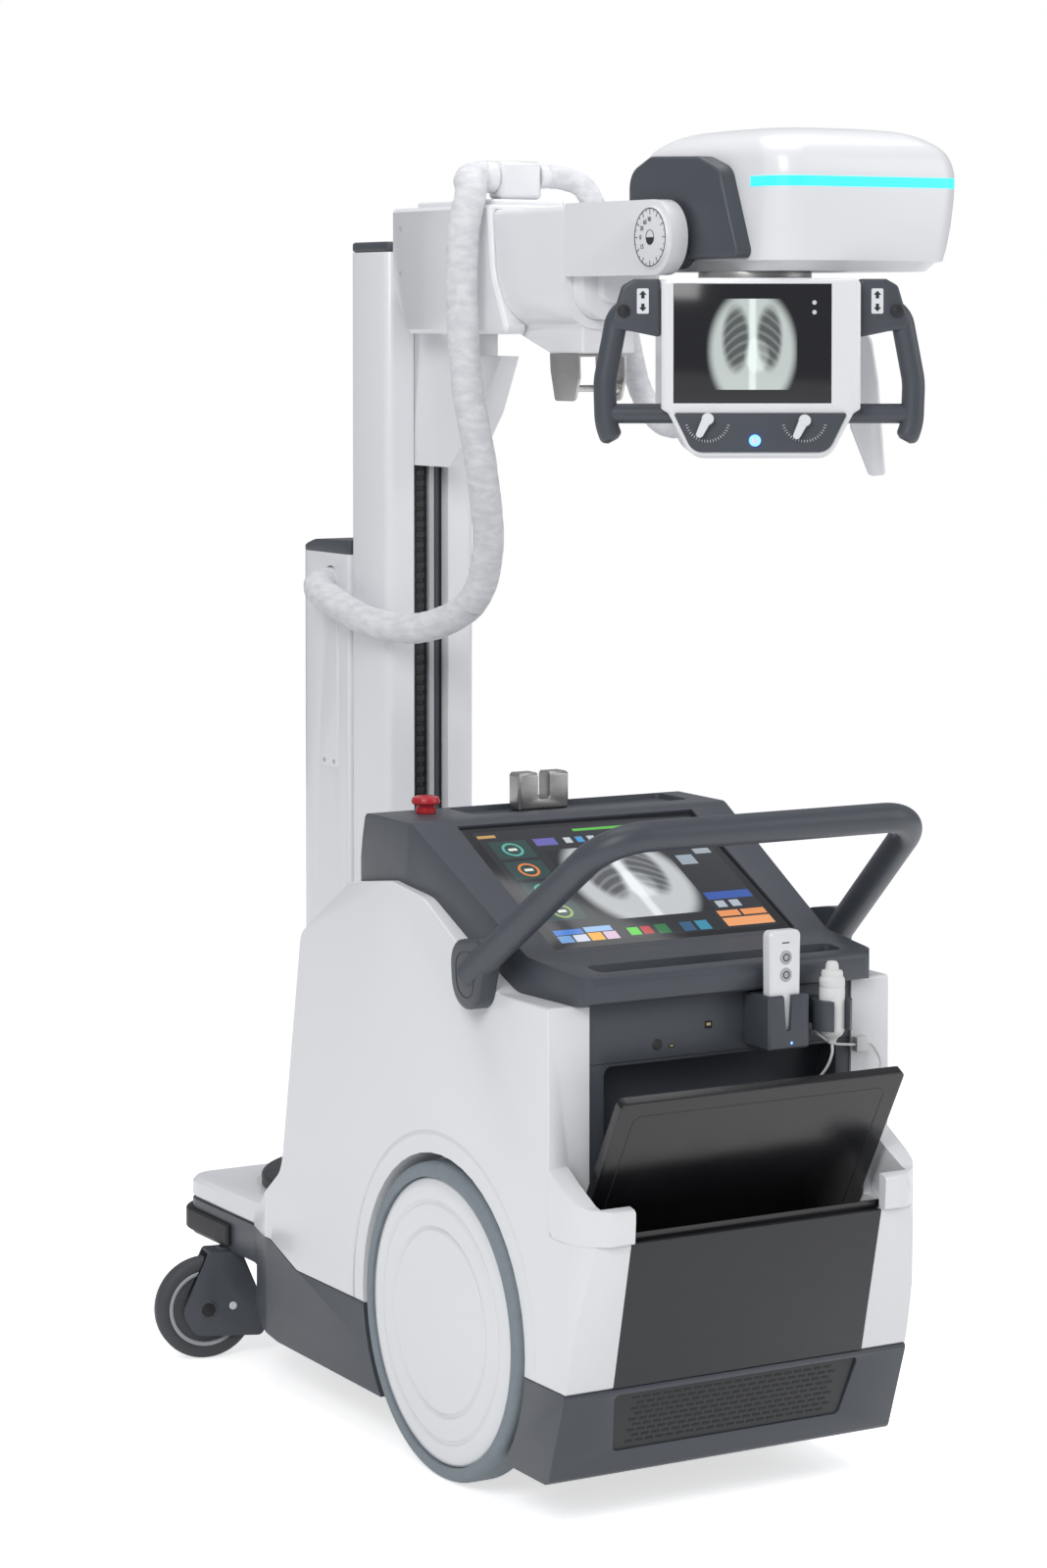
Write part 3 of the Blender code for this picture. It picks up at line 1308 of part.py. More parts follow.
def make_collimator():
    """The beam-limiting box under the head: screen, controls, grips and spacer."""
    front = TURN_Y - COLL_FACE
    face = [
        (TURN_X - 0.092, COLL_BOTTOM, 0.026),
        (TURN_X + 0.092, COLL_BOTTOM, 0.026),
        (TURN_X + 0.124, 1.518, 0.004),
        (TURN_X + COLL_HALF, 1.524, 0.004),
        (TURN_X + COLL_HALF, COLL_TOP, 0.010),
        (TURN_X - COLL_HALF, COLL_TOP, 0.010),
        (TURN_X - COLL_HALF, 1.524, 0.004),
        (TURN_X - 0.124, 1.518, 0.004),
    ]
    housing = prism("collimator_housing", "Y", face, front, TURN_Y - COLL_REAR, edge=0.004)
    glass = (-0.1175, 0.0942, 1.532, 1.692)
    shape(housing, box("display_recess", (TURN_X + glass[0] - GAP, front - 0.01, glass[2] - GAP),
                       (TURN_X + glass[1] + GAP, front + 0.005, glass[3] + GAP)))
    shape(housing, turned("grip_bore", "X", (0, front + GRIP_DEPTH, GRIP_BAR_Z),
                          [(-0.3, GRIP_BAR + GAP), (0.4, GRIP_BAR + GAP)], 24))
    for side in (-1, 1):
        slope = [
            (TURN_X + side * 0.055, COLL_TOP + 0.001, 0),
            (TURN_X + side * 0.140, COLL_TOP + 0.001, 0),
            (TURN_X + side * 0.140, COLL_TOP - 0.0155, 0),
            (TURN_X + side * 0.055, COLL_TOP - 0.0003, 0),
        ]
        shape(housing, prism("bar_relief", "Y", slope, front + BEZEL, front + BEZEL + 0.0545))
    place(housing, "collimator_turn", "white")
    screen = box("collimator_screen", (TURN_X + glass[0], front + 0.001, glass[2]),
                 (TURN_X + glass[1], front + 0.005 - GAP, glass[3]))
    place(screen, "collimator_turn", "black")

    panel_face = [
        (TURN_X - 0.092, 1.4660, 0.022),
        (TURN_X + 0.090, 1.4660, 0.022),
        (TURN_X + 0.116, 1.5190, 0.003),
        (TURN_X - 0.118, 1.5190, 0.003),
    ]
    back = front - GAP
    panel = prism("control_panel", "Y", panel_face, back - 0.003, back)
    knobs = [
        # x, z, radius, height
        (-0.0720, 1.5110, 0.0080, 0.011),
        (0.0580, 1.5090, 0.0080, 0.011),
        (-0.0085, 1.4820, 0.0085, 0.004),
    ]
    for x, z, radius, height in knobs:
        join(panel, turned("knob", "Y", (TURN_X + x, back, z), [(-0.002, radius), (-0.003 - height, radius)], 20))
    for x, z, radius, height in knobs[:2]:
        lever = [(0.006, -0.001, 0.004), (-0.009, -0.026, 0.004), (-0.017, -0.023, 0.004), (-0.006, 0.005, 0.004)]
        corners = [(TURN_X + x + u, z + v, r) for u, v, r in lever]
        join(panel, prism("lever", "Y", corners, back - 0.014, back - 0.0065, steps=3))
    place(panel, "collimator_turn", "slate")

    y = front + GRIP_DEPTH
    bar = turned("collimator_grips", "X", (0, y, GRIP_BAR_Z),
                 [(TURN_X - GRIP_REACH, GRIP_BAR), (TURN_X + GRIP_REACH, GRIP_BAR)], 20)
    for side in (-1, 1):
        line = [
            (0.160, 1.668, 0),
            (0.192, 1.650, 0.030),
            (0.209, 1.560, 0.100),
            (0.207, GRIP_BAR_Z - 0.020, 0.080),
            (0.198, GRIP_BAR_Z - 0.036, 0),
        ]
        path = bent_path([(TURN_X + side * u, y, z, radius) for u, z, radius in line], 4)
        join(bar, sweep("grip_loop", path, 0.0155, 12))
        wedge = [
            (COLL_HALF + GAP, 1.620, 0.004),
            (0.172, 1.628, 0.012),
            (0.203, 1.632, 0.010),
            (0.186, 1.690, 0.012),
            (0.170, 1.699, 0.004),
            (COLL_HALF + GAP, 1.699, 0.004),
        ]
        corners = [(TURN_X + side * u, z, radius) for u, z, radius in wedge]
        join(bar, prism("grip_mount", "Y", corners, y - 0.017, y + 0.017, edge=0.004))
    place(bar, "collimator_turn", "slate")

    fin = [
        (COLL_HALF + GAP, 1.628, 0),
        (0.160, 1.622, 0.015),
        (0.170, 1.560, 0.050),
        (0.180, 1.430, 0.004),
        (0.160, 1.428, 0.004),
        (COLL_HALF + GAP, 1.495, 0),
    ]
    corners = [(TURN_X + u, z, radius) for u, z, radius in fin]
    spacer = prism("spacer_plate", "Y", corners, TURN_Y - 0.010, TURN_Y + 0.030, edge=0.003)
    place(spacer, "collimator_turn", "white")




# Hoses


def square_ends(path, first, last):
    """The stretch of a route between two of its points, its ends cut square to the route."""
    part = [Vector(point) for point in path[first:last + 1]]
    if first > 0:
        ahead = (path[first + 1] - path[first - 1]).normalized()
        part[0:1] = [path[first] + 2 * GAP * ahead, path[first] + 0.003 * ahead]
    if last < len(path) - 1:
        ahead = (path[last + 1] - path[last - 1]).normalized()
        part[-1:] = [path[last] - 0.003 * ahead, path[last]]
    return part


def make_hoses():
    """The white sleeves that carry the cables from the column to the arm and the head."""
    main = smooth_path([
        (-0.0608, HOSE_PORT_Y, HOSE_PORT_Z),
        (-0.0740, HOSE_PORT_Y, HOSE_PORT_Z),
        (-0.0880, HOSE_PORT_Y, HOSE_PORT_Z),
        (-0.113, 0.706, 1.220),
        (-0.120, 0.650, 1.205),
        (-0.108, 0.540, 1.176),
        (-0.070, 0.440, 1.172),
        (-0.040, 0.340, 1.215),
        (-0.042, 0.285, 1.300),
        (-0.080, 0.236, 1.420),
        (-0.115, 0.216, 1.540),
        (-0.126, 0.212, 1.650),
        (-0.124, 0.214, 1.765),
        (-0.105, 0.224, 1.830),
        (-0.088, 0.258, 1.850),
        (-0.060, 0.276, 1.856),
        (-0.049, 0.276, 1.856),
        (-0.0377, 0.276, 1.856),
    ], 3)
    pieces = [
        # node, group, route, first point, last point, radius
        ("hose_lower", "column", main, 0, 21, HOSE_RADIUS),
        ("hose_upper", "carriage_lift", main, 21, len(main) - 1, HOSE_RADIUS),
    ]
    arm = smooth_path([
        (0.0377, 0.276, 1.858),
        (0.0480, 0.276, 1.858),
        (0.0580, 0.276, 1.858),
        (0.086, 0.266, 1.854),
        (0.108, 0.248, 1.836),
        (0.118, 0.215, 1.775),
        (0.114, 0.170, 1.700),
        (0.108, 0.130, 1.620),
        (0.112, 0.100, 1.540),
        (0.125, 0.060, 1.492),
        (0.142, 0.010, 1.496),
        (0.155, -0.025, 1.560),
        (0.160, -0.040, 1.650),
        (0.160, -0.050, 1.745),
        (0.160, -0.074, 1.784),
        (0.160, -0.088, 1.785),
        (0.160, HEAD_REAR + 0.0005, 1.785),
    ], 3)
    pieces += [
        ("hose_top", "carriage_lift", arm, 0, 19, ARM_HOSE_RADIUS),
        ("hose_loop", "arm_slide", arm, 19, 33, ARM_HOSE_RADIUS),
        ("hose_head", "arm_reach", arm, 33, len(arm) - 1, ARM_HOSE_RADIUS),
    ]
    for name, group, route, first, last, radius in pieces:
        place(cord(name, square_ends(route, first, last), radius, 3), group, "fabric")


def build():
    """Make the whole machine."""
    clear_scene()
    make_groups()
    make_chassis()
    make_grille()
    make_wheels()
    make_casters()
    make_body()
    make_nose()
    make_bin()
    make_console()
    make_push_handle()
    make_panel()
    make_remote()
    make_hand_switch()
    make_column()
    make_mast()
    make_carriage()
    make_arm()
    make_head()
    make_collimator()
    make_hoses()
    hang_tools()
    EMPTIES["collimator_turn"].rotation_euler = (0, 0, SCREEN_YAW)


build()
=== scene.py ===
"""A mobile x-ray machine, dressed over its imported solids."""
import json
import math

import bmesh
import bpy
from bpy.props import FloatProperty, FloatVectorProperty, IntProperty, PointerProperty
from mathutils import Matrix, Vector


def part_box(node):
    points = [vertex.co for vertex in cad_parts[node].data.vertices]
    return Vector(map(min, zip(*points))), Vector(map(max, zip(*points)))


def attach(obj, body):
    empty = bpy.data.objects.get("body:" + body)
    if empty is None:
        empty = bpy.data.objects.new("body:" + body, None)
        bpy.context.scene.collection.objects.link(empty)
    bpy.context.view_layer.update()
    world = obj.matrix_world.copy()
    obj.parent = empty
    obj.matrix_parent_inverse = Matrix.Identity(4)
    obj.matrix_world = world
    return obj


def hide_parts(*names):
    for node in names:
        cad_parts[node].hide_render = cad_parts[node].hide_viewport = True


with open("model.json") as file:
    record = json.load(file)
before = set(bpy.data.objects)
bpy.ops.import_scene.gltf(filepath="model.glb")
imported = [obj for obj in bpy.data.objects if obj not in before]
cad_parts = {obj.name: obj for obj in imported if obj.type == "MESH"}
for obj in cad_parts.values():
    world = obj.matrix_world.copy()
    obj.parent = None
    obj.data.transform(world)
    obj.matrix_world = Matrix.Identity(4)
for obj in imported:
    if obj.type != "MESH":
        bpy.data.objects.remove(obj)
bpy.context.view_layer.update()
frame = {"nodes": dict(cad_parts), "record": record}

bl_info = {
    "name": "Mobile X-ray Machine",
    "version": (1, 0, 0),
    "blender": (4, 5, 0),
    "location": "View3D > Sidebar > X-ray Machine",
    "description": "Dresses the packed solids of a mobile x-ray machine",
    "category": "Object",
}

# Places shared with the solids, in metres. Drawing Y counts from the main wheels' axle.

NOSE_FRONT = 0.920
GRIPS_FRONT = -0.5086
SHIFT = -(NOSE_FRONT + GRIPS_FRONT) / 2
WHEEL_Z = 0.225
WHEEL_OUTER = 0.285
WHEEL_INNER = 0.228
DISC_RADIUS = 0.2035
ARCH_INNER = 0.262
ARCH_OUTER = 0.272
CASTER_RADIUS = 0.0805
CASTER_TRAIL = 0.040
CASTER_TURN = math.radians(102)
SCREEN_YAW = math.radians(-30)
TURN = Vector((0.050, -0.300 + SHIFT, 0))
COLL_FRONT = 0.148
SCREEN_MIDDLE = 1.612
HEAD_TOP = 1.906
CONSOLE_LEAN = math.atan2(0.918 - 0.769, 0.105 + 0.190)
CONSOLE_MIDDLE = Vector((0, -0.0425 + SHIFT, 0.8435))
DETECTOR_LEAN = math.radians(29.57)
DETECTOR_FOOT = Vector((0, -0.2342 + SHIFT, 0.3039))
GRILLE_LEAN = math.atan2(0.045, 0.145)
GRILLE_MIDDLE = Vector((0, -0.3240 + SHIFT, 0.1480))
SLOTTED_WIDTH = 0.335
DIAL = Vector((-0.083, -0.240 + SHIFT, 1.757))
HANK_LEVEL = 0.512 + 0.0003 + 0.025  # the bay's floor, a seam and half the hank's height
HANK_MIDDLE = (-0.285 - 0.262) / 2  # between its two sides
CAMERA_TURN = math.radians(30)
CAMERA_DIP = math.atan(0.0396)


def at(x, y, z):
    """A point of the drawings in the frame's own metres."""
    return Vector((x, y + SHIFT, z))


# Settings that a user would change


class XrayColours(bpy.types.PropertyGroup):
    """Colours of the machine's finishes."""

    enamel: FloatVectorProperty(name="Enamel", description="White covers, arm and mast", subtype="COLOR",
                                default=(0.845, 0.850, 0.868), min=0, max=1)
    slate: FloatVectorProperty(name="Slate plastic", description="Skirt, console and handles",
                               subtype="COLOR", default=(0.062, 0.070, 0.084), min=0, max=1)
    panel: FloatVectorProperty(name="Dark panel", description="Bin front, grille and equipment panel",
                               subtype="COLOR", default=(0.017, 0.018, 0.020), min=0, max=1)
    tyre: FloatVectorProperty(name="Tyre", description="Grey tread of the main wheels", subtype="COLOR",
                              default=(0.235, 0.275, 0.300), min=0, max=1)
    glow: FloatVectorProperty(name="Light strip", description="Status light round the head", subtype="COLOR",
                              default=(0.035, 0.660, 0.740), min=0, max=1)
    stop: FloatVectorProperty(name="Stop button", description="Emergency stop", subtype="COLOR",
                              default=(0.520, 0.020, 0.030), min=0, max=1)
    floor: FloatVectorProperty(name="Floor", description="Floor and backdrop", subtype="COLOR",
                               default=(0.90, 0.90, 0.90), min=0, max=1)


class XraySizes(bpy.types.PropertyGroup):
    """Sizes of the fine detail."""

    slot_pitch: FloatProperty(name="Grille pitch", description="Distance between grille slots",
                              default=0.0165, min=0.006, max=0.05, subtype="DISTANCE", unit="LENGTH")
    slot_rows: IntProperty(name="Grille rows", description="Rows of slots in the grille",
                           default=9, min=2, max=14)
    rack_pitch: FloatProperty(name="Rack pitch", description="Distance between rack teeth", default=0.016,
                              min=0.008, max=0.04, subtype="DISTANCE", unit="LENGTH")
    dial_ticks: IntProperty(name="Dial ticks", description="Marks round the tilt dial",
                            default=24, min=8, max=72)
    pleat: FloatProperty(name="Sleeve pleat", description="Depth of the hose sleeve's creases",
                         default=0.0012, min=0, max=0.003, subtype="DISTANCE", unit="LENGTH")


# Shader maths


class Wire:
    """A node socket that adds Math nodes when it is used in an expression."""

    def __init__(self, recipe, socket):
        self.recipe = recipe
        self.socket = socket

    def maths(self, operation, *others, flip=False):
        values = [self, *others]
        if flip:
            values.reverse()
        return self.recipe.node("ShaderNodeMath", {"operation": operation}, dict(enumerate(values)))

    def __add__(self, other):
        return self.maths("ADD", other)

    def __radd__(self, other):
        return self.maths("ADD", other)

    def __sub__(self, other):
        return self.maths("SUBTRACT", other)

    def __rsub__(self, other):
        return self.maths("SUBTRACT", other, flip=True)

    def __mul__(self, other):
        return self.maths("MULTIPLY", other)

    def __rmul__(self, other):
        return self.maths("MULTIPLY", other)

    def __truediv__(self, other):
        return self.maths("DIVIDE", other)

    def __pow__(self, other):
        return self.maths("POWER", other)

    def __gt__(self, other):
        return self.maths("GREATER_THAN", other)

    def __lt__(self, other):
        return self.maths("LESS_THAN", other)

    def __abs__(self):
        return self.maths("ABSOLUTE")

    def sine(self):
        return self.maths("SINE")

    def least(self, other):
        return self.maths("MINIMUM", other)

    def most(self, other):
        return self.maths("MAXIMUM", other)

    def root(self):
        return self.maths("SQRT")

    def ramp(self, low, high):
        """0 below low, 1 above high and smooth between them."""
        return self.recipe.node("ShaderNodeMapRange", {"interpolation_type": "SMOOTHSTEP"},
                                {"Value": self, "From Min": low, "From Max": high})


class Recipe:
    """A material in the making, with its shader and object coordinates."""

    def __init__(self, name):
        self.material = bpy.data.materials.new(name)
        self.material.use_nodes = True
        self.tree = self.material.node_tree
        self.shader = self.tree.nodes["Principled BSDF"]
        self.place = self.node("ShaderNodeTexCoord", output="Object")

    def node(self, kind, settings=None, inputs=None, output=0):
        """Add a node: its settings first, then its sockets' values or links."""
        made = self.tree.nodes.new(kind)
        for key, value in (settings or {}).items():
            setattr(made, key, value)
        for key, value in (inputs or {}).items():
            self.feed(made.inputs[key], value)
        return Wire(self, made.outputs[output])

    def feed(self, socket, value):
        if isinstance(value, Wire):
            self.tree.links.new(value.socket, socket)
        elif socket.type == "RGBA" and len(value) == 3:
            socket.default_value = (*value, 1)
        else:
            socket.default_value = value

    def set(self, **sockets):
        """Set the shader's sockets; underscores in their names stand for spaces."""
        for name, value in sockets.items():
            self.feed(self.shader.inputs[name.replace("_", " ")], value)

    def noise(self, scale, detail=3.0, stretch=(1, 1, 1)):
        """Noise from 0 to 1 over the object, stretched along its axes."""
        place = self.place
        if stretch != (1, 1, 1):
            place = self.node("ShaderNodeMapping", inputs={"Vector": place, "Scale": stretch})
        return self.node("ShaderNodeTexNoise", inputs={"Vector": place, "Scale": scale, "Detail": detail})

    def mix(self, factor, first, second):
        """A blend of two colours."""
        made = self.tree.nodes.new("ShaderNodeMix")
        made.data_type = "RGBA"
        self.feed(made.inputs[0], factor)
        self.feed(made.inputs[6], first)
        self.feed(made.inputs[7], second)
        return Wire(self, made.outputs[2])

    def axes(self, turn=(0, 0, 0), centre=(0, 0, 0)):
        """Object coordinates as three wires, from a centre and along turned axes."""
        place = self.node("ShaderNodeMapping", {"vector_type": "TEXTURE"},
                          {"Vector": self.place, "Location": centre, "Rotation": turn})
        split = self.tree.nodes.new("ShaderNodeSeparateXYZ")
        self.feed(split.inputs[0], place)
        return [Wire(self, socket) for socket in split.outputs]

    def bump(self, height, distance):
        self.set(Normal=self.node("ShaderNodeBump", inputs={
            "Height": height, "Distance": distance, "Strength": 1.0}))


def shaded(colour, amount):
    """A colour made darker or lighter by a factor."""
    return tuple(min(1.0, channel * amount) for channel in colour)


def moulded(name, colour, roughness, grain, depth):
    """A moulded or painted surface: faint drift of tone, uneven gloss and a fine grain."""
    recipe = Recipe(name)
    recipe.set(
        Base_Color=recipe.mix(recipe.noise(6, 3), shaded(colour, 0.95), shaded(colour, 1.05)),
        Roughness=roughness - 0.05 + 0.10 * recipe.noise(40, 4),
        IOR=1.48,
    )
    recipe.bump(recipe.noise(grain, 2), depth)
    return recipe.material


def enamel(name="enamel", arch=False):
    """Glossy white powder coat with a faint orange peel, and on the body a soft arch round each wheel."""
    colour = tuple(bpy.context.scene.xray_colours.enamel)
    recipe = Recipe(name)
    recipe.set(
        Base_Color=recipe.mix(recipe.noise(3.5, 2), shaded(colour, 0.975), shaded(colour, 1.02)),
        Roughness=0.26 + 0.08 * recipe.noise(30, 4),
        Coat_Roughness=0.12,
        Coat_Weight=0.25,
    )
    peel = recipe.noise(420, 2)
    if not arch:
        recipe.bump(peel, 0.00006)
        return recipe.material
    across, deep, up = recipe.axes()
    away = ((deep - SHIFT) ** 2 + (up - WHEEL_Z) ** 2).root()
    flank = abs(across) > 0.268
    raised = (1 - away.ramp(ARCH_INNER, ARCH_OUTER)) * flank
    recipe.bump(raised + 0.02 * peel, 0.0030)
    return recipe.material


def glossy_black():
    """Polished black with a faint smear."""
    recipe = Recipe("gloss_black")
    smear = recipe.noise(14, 5)
    recipe.set(
        Base_Color=recipe.mix(smear, (0.0065, 0.0065, 0.0075), (0.0110, 0.0110, 0.0125)),
        Roughness=0.16 + 0.14 * smear,
    )
    recipe.bump(recipe.noise(900, 2), 0.00002)
    return recipe.material


def brushed_steel():
    """Steel brushed along one axis."""
    recipe = Recipe("brushed_steel")
    streaks = recipe.noise(60, 6, (1, 1, 26))
    recipe.set(
        Base_Color=recipe.mix(streaks, (0.33, 0.325, 0.315), (0.56, 0.55, 0.54)),
        Metallic=1.0,
        Roughness=0.26 + 0.20 * streaks,
    )
    recipe.bump(streaks, 0.00008)
    return recipe.material


def tyre_rubber(name, colour, roughness):
    """Rolled rubber with fine scuffs across it."""
    recipe = Recipe(name)
    scuffs = recipe.noise(90, 6, (0.25, 1, 1))
    recipe.set(
        Base_Color=recipe.mix(scuffs, shaded(colour, 0.86), shaded(colour, 1.10)),
        Roughness=roughness + 0.15 * scuffs,
    )
    recipe.bump(recipe.noise(700, 3), 0.00012)
    return recipe.material


def sleeve_fabric():
    """Thin white woven sleeve, creased round the hose, with painted shade darkening the creases."""
    recipe = Recipe("sleeve_fabric")
    creases_and_shade = recipe.noise(46, 4, (1, 1, 2.2))
    across, deep, up = recipe.axes()
    weave = (across * 5200).sine() * (up * 5200).sine() + (deep * 5200).sine() * (up * 5200).sine()
    recipe.set(
        # painted shade: the crease troughs are coloured a darker grey than the crests
        Base_Color=recipe.mix(creases_and_shade.ramp(0.25, 0.75), (0.70, 0.71, 0.74), (0.86, 0.865, 0.88)),
        Roughness=0.62 + 0.2 * creases_and_shade,
        Sheen_Weight=0.15,
    )
    recipe.bump(creases_and_shade + 0.04 * weave, 0.0022)
    return recipe.material


def glowing(name, colour, strength):
    """A lit diffuser, slightly uneven."""
    recipe = Recipe(name)
    lit = recipe.mix(recipe.noise(25, 2), shaded(colour, 0.9), shaded(colour, 1.08))
    recipe.set(Base_Color=lit, Emission_Color=lit, Emission_Strength=strength, Roughness=0.35)
    return recipe.material


def radiograph(u, v):
    """Brightness of a plain, generic chest picture; u and v run from -1 to 1 across it."""
    def oval(u0, v0, wide, tall, soft=0.5):
        away = ((u - u0) / wide) ** 2 + ((v - v0) / tall) ** 2
        return 1 - away.ramp(1 - soft, 1 + soft)
    chest = oval(0, -0.15, 0.95, 1.25, 0.25)
    lungs = oval(-0.37, 0.10, 0.29, 0.66).most(oval(0.38, 0.12, 0.27, 0.64))
    ribs = ((abs(u) * abs(u) * 0.9 + v) * 30).sine().ramp(-0.2, 1.0)
    spine = 1 - abs(u).ramp(0.03, 0.12)
    heart = oval(0.10, -0.25, 0.26, 0.34)
    shade = chest * (0.62 - 0.52 * lungs + 0.12 * ribs * lungs) + 0.30 * spine * chest + 0.22 * heart
    return shade.most(0.0).least(1.0)


def window(u, v, left, right, low, high):
    """1 inside a rectangle and 0 outside it."""
    return (u > left) * (u < right) * (v > low) * (v < high)


def lit_screen(recipe, picture, roughness=0.12):
    """A glass-covered display that shows the picture."""
    recipe.set(Base_Color=(0.008, 0.008, 0.010), Emission_Color=picture, Emission_Strength=1.0,
               Roughness=roughness)
    return recipe.material


def console_display():
    """The operator's display: gauges, a generic picture, thumbnails and a row of keys."""
    recipe = Recipe("console_display")
    u, v, _ = recipe.axes((CONSOLE_LEAN, 0, 0), CONSOLE_MIDDLE)
    lit = window(u, v, -0.182, 0.182, -0.140, 0.140)
    colour = recipe.mix(lit, (0.004, 0.004, 0.005), (0.016, 0.018, 0.022))
    shade = radiograph((u - 0.006) / 0.098, (v - 0.008) / 0.092)
    inside = window(u, v, -0.093, 0.100, -0.094, 0.084)
    grey = recipe.mix(shade, (0.010, 0.011, 0.013), (0.86, 0.90, 0.93))
    colour = recipe.mix(inside, colour, grey)
    tones = ((0.10, 0.42, 0.36), (0.75, 0.22, 0.04), (0.10, 0.42, 0.36), (0.30, 0.42, 0.10))
    for index, tone in enumerate(tones):
        middle = 0.092 - 0.052 * index
        reach = ((u + 0.139) ** 2 + (v - middle) ** 2).root()
        plate = window(u, v, -0.170, -0.108, middle - 0.022, middle + 0.022)
        colour = recipe.mix(plate, colour, (0.020, 0.052, 0.050))
        ring = (reach > 0.0125) * (reach < 0.0165)
        colour = recipe.mix(ring, colour, tone)
        figure = window(u, v, -0.146, -0.132, middle - 0.003, middle + 0.003)
        colour = recipe.mix(figure, colour, (0.75, 0.8, 0.7))
    blocks = [
        # left, right, low, high, colour
        (-0.096, -0.060, 0.096, 0.114, (0.13, 0.12, 0.42)),
        (-0.046, -0.034, 0.098, 0.112, (0.55, 0.60, 0.62)),
        (-0.026, -0.014, 0.098, 0.112, (0.06, 0.30, 0.62)),
        (-0.006, 0.006, 0.098, 0.112, (0.50, 0.56, 0.60)),
        (-0.020, 0.080, 0.126, 0.132, (0.10, 0.50, 0.06)),
        (-0.180, -0.150, 0.124, 0.131, (0.55, 0.32, 0.10)),
        (0.108, 0.178, 0.098, 0.106, (0.12, 0.50, 0.10)),
        (0.110, 0.138, 0.070, 0.094, (0.62, 0.46, 0.14)),
        (0.146, 0.174, 0.046, 0.070, (0.34, 0.38, 0.42)),
        (0.110, 0.138, 0.022, 0.046, (0.30, 0.36, 0.42)),
        (0.104, 0.180, -0.068, -0.050, (0.03, 0.09, 0.38)),
        (0.110, 0.126, -0.088, -0.072, (0.42, 0.48, 0.55)),
        (0.134, 0.150, -0.088, -0.072, (0.42, 0.48, 0.55)),
        (0.100, 0.136, -0.110, -0.096, (0.80, 0.30, 0.10)),
        (0.140, 0.180, -0.110, -0.096, (0.80, 0.30, 0.10)),
        (0.100, 0.180, -0.134, -0.114, (0.85, 0.36, 0.14)),
        (-0.178, -0.132, -0.120, -0.108, (0.05, 0.20, 0.62)),
        (-0.128, -0.084, -0.118, -0.106, (0.28, 0.50, 0.80)),
        (-0.178, -0.156, -0.138, -0.122, (0.16, 0.34, 0.66)),
        (-0.153, -0.131, -0.138, -0.122, (0.62, 0.66, 0.80)),
        (-0.128, -0.106, -0.138, -0.120, (0.86, 0.42, 0.03)),
        (-0.103, -0.082, -0.138, -0.120, (0.70, 0.50, 0.66)),
        (-0.062, -0.044, -0.134, -0.116, (0.10, 0.62, 0.04)),
        (-0.040, -0.024, -0.134, -0.116, (0.50, 0.03, 0.03)),
        (-0.016, 0.004, -0.136, -0.114, (0.02, 0.16, 0.05)),
        (0.026, 0.046, -0.136, -0.114, (0.03, 0.10, 0.20)),
        (0.052, 0.072, -0.136, -0.114, (0.04, 0.26, 0.40)),
    ]
    for left, right, low, high, tone in blocks:
        colour = recipe.mix(window(u, v, left, right, low, high), colour, tone)
    return lit_screen(recipe, colour)


def collimator_display():
    """The head's display, with the same kind of generic picture on black."""
    recipe = Recipe("collimator_display")
    u, _, v = recipe.axes((0, 0, SCREEN_YAW), TURN)
    u = u + 0.0117
    v = v - SCREEN_MIDDLE
    shade = radiograph(u / 0.060, v / 0.064)
    inside = window(u, v, -0.062, 0.060, -0.062, 0.060)
    colour = recipe.mix(inside * shade, (0.004, 0.004, 0.005), (0.86, 0.95, 0.92))
    for high in (0.055, 0.042):
        spot = ((u - 0.083) ** 2 + (v - high) ** 2).root() < 0.003
        colour = recipe.mix(spot, colour, (0.6, 0.62, 0.62))
    return lit_screen(recipe, colour, 0.10)


FINISH = {}


def mix_finishes():
    """Make every finish once, from the colours in the panel."""
    colours = bpy.context.scene.xray_colours
    slate = tuple(colours.slate)
    panel = tuple(colours.panel)
    tyre = tuple(colours.tyre)
    FINISH.update({
        "white": enamel(),
        "body": enamel("body_enamel", arch=True),
        "slate": moulded("slate_plastic", slate, 0.42, 900, 0.00010),
        "dark": moulded("dark_panel", panel, 0.46, 1100, 0.00010),
        # painted shade: a near-black copy of the panel colour laid where grille slots and sockets open; the
        # same finish also serves the real dark panel joint and caster caps
        "shade_and_dark_trim": moulded("shade_and_dark_trim", shaded(panel, 0.30), 0.60, 700, 0.00006),
        "black": glossy_black(),
        "rubber_trim": moulded("rubber_trim", (0.016, 0.016, 0.018), 0.60, 800, 0.00012),
        "tyre": tyre_rubber("grey_tyre", tyre, 0.55),
        "caster": tyre_rubber("caster_tread", (0.060, 0.064, 0.070), 0.50),
        "steel": brushed_steel(),
        "red": moulded("stop_red", tuple(colours.stop), 0.30, 600, 0.00004),
        "grey": moulded("pad_grey", (0.46, 0.47, 0.49), 0.40, 800, 0.00006),
        "cord": moulded("cord_sheath", (0.80, 0.80, 0.79), 0.42, 500, 0.00005),
        "ink": moulded("dial_ink", (0.020, 0.020, 0.022), 0.40, 800, 0.00002),
        "legend": moulded("legend_white", (0.80, 0.82, 0.84), 0.40, 800, 0.00002),
        "amber": moulded("contact_metal", (0.60, 0.48, 0.22), 0.30, 500, 0.00002),
        "fabric": sleeve_fabric(),
        "glow": glowing("status_light", tuple(colours.glow), 0.95),
        "led": glowing("blue_lamp", (0.10, 0.28, 1.0), 3.0),
        "console": console_display(),
        "display": collimator_display(),
    })


# Making meshes


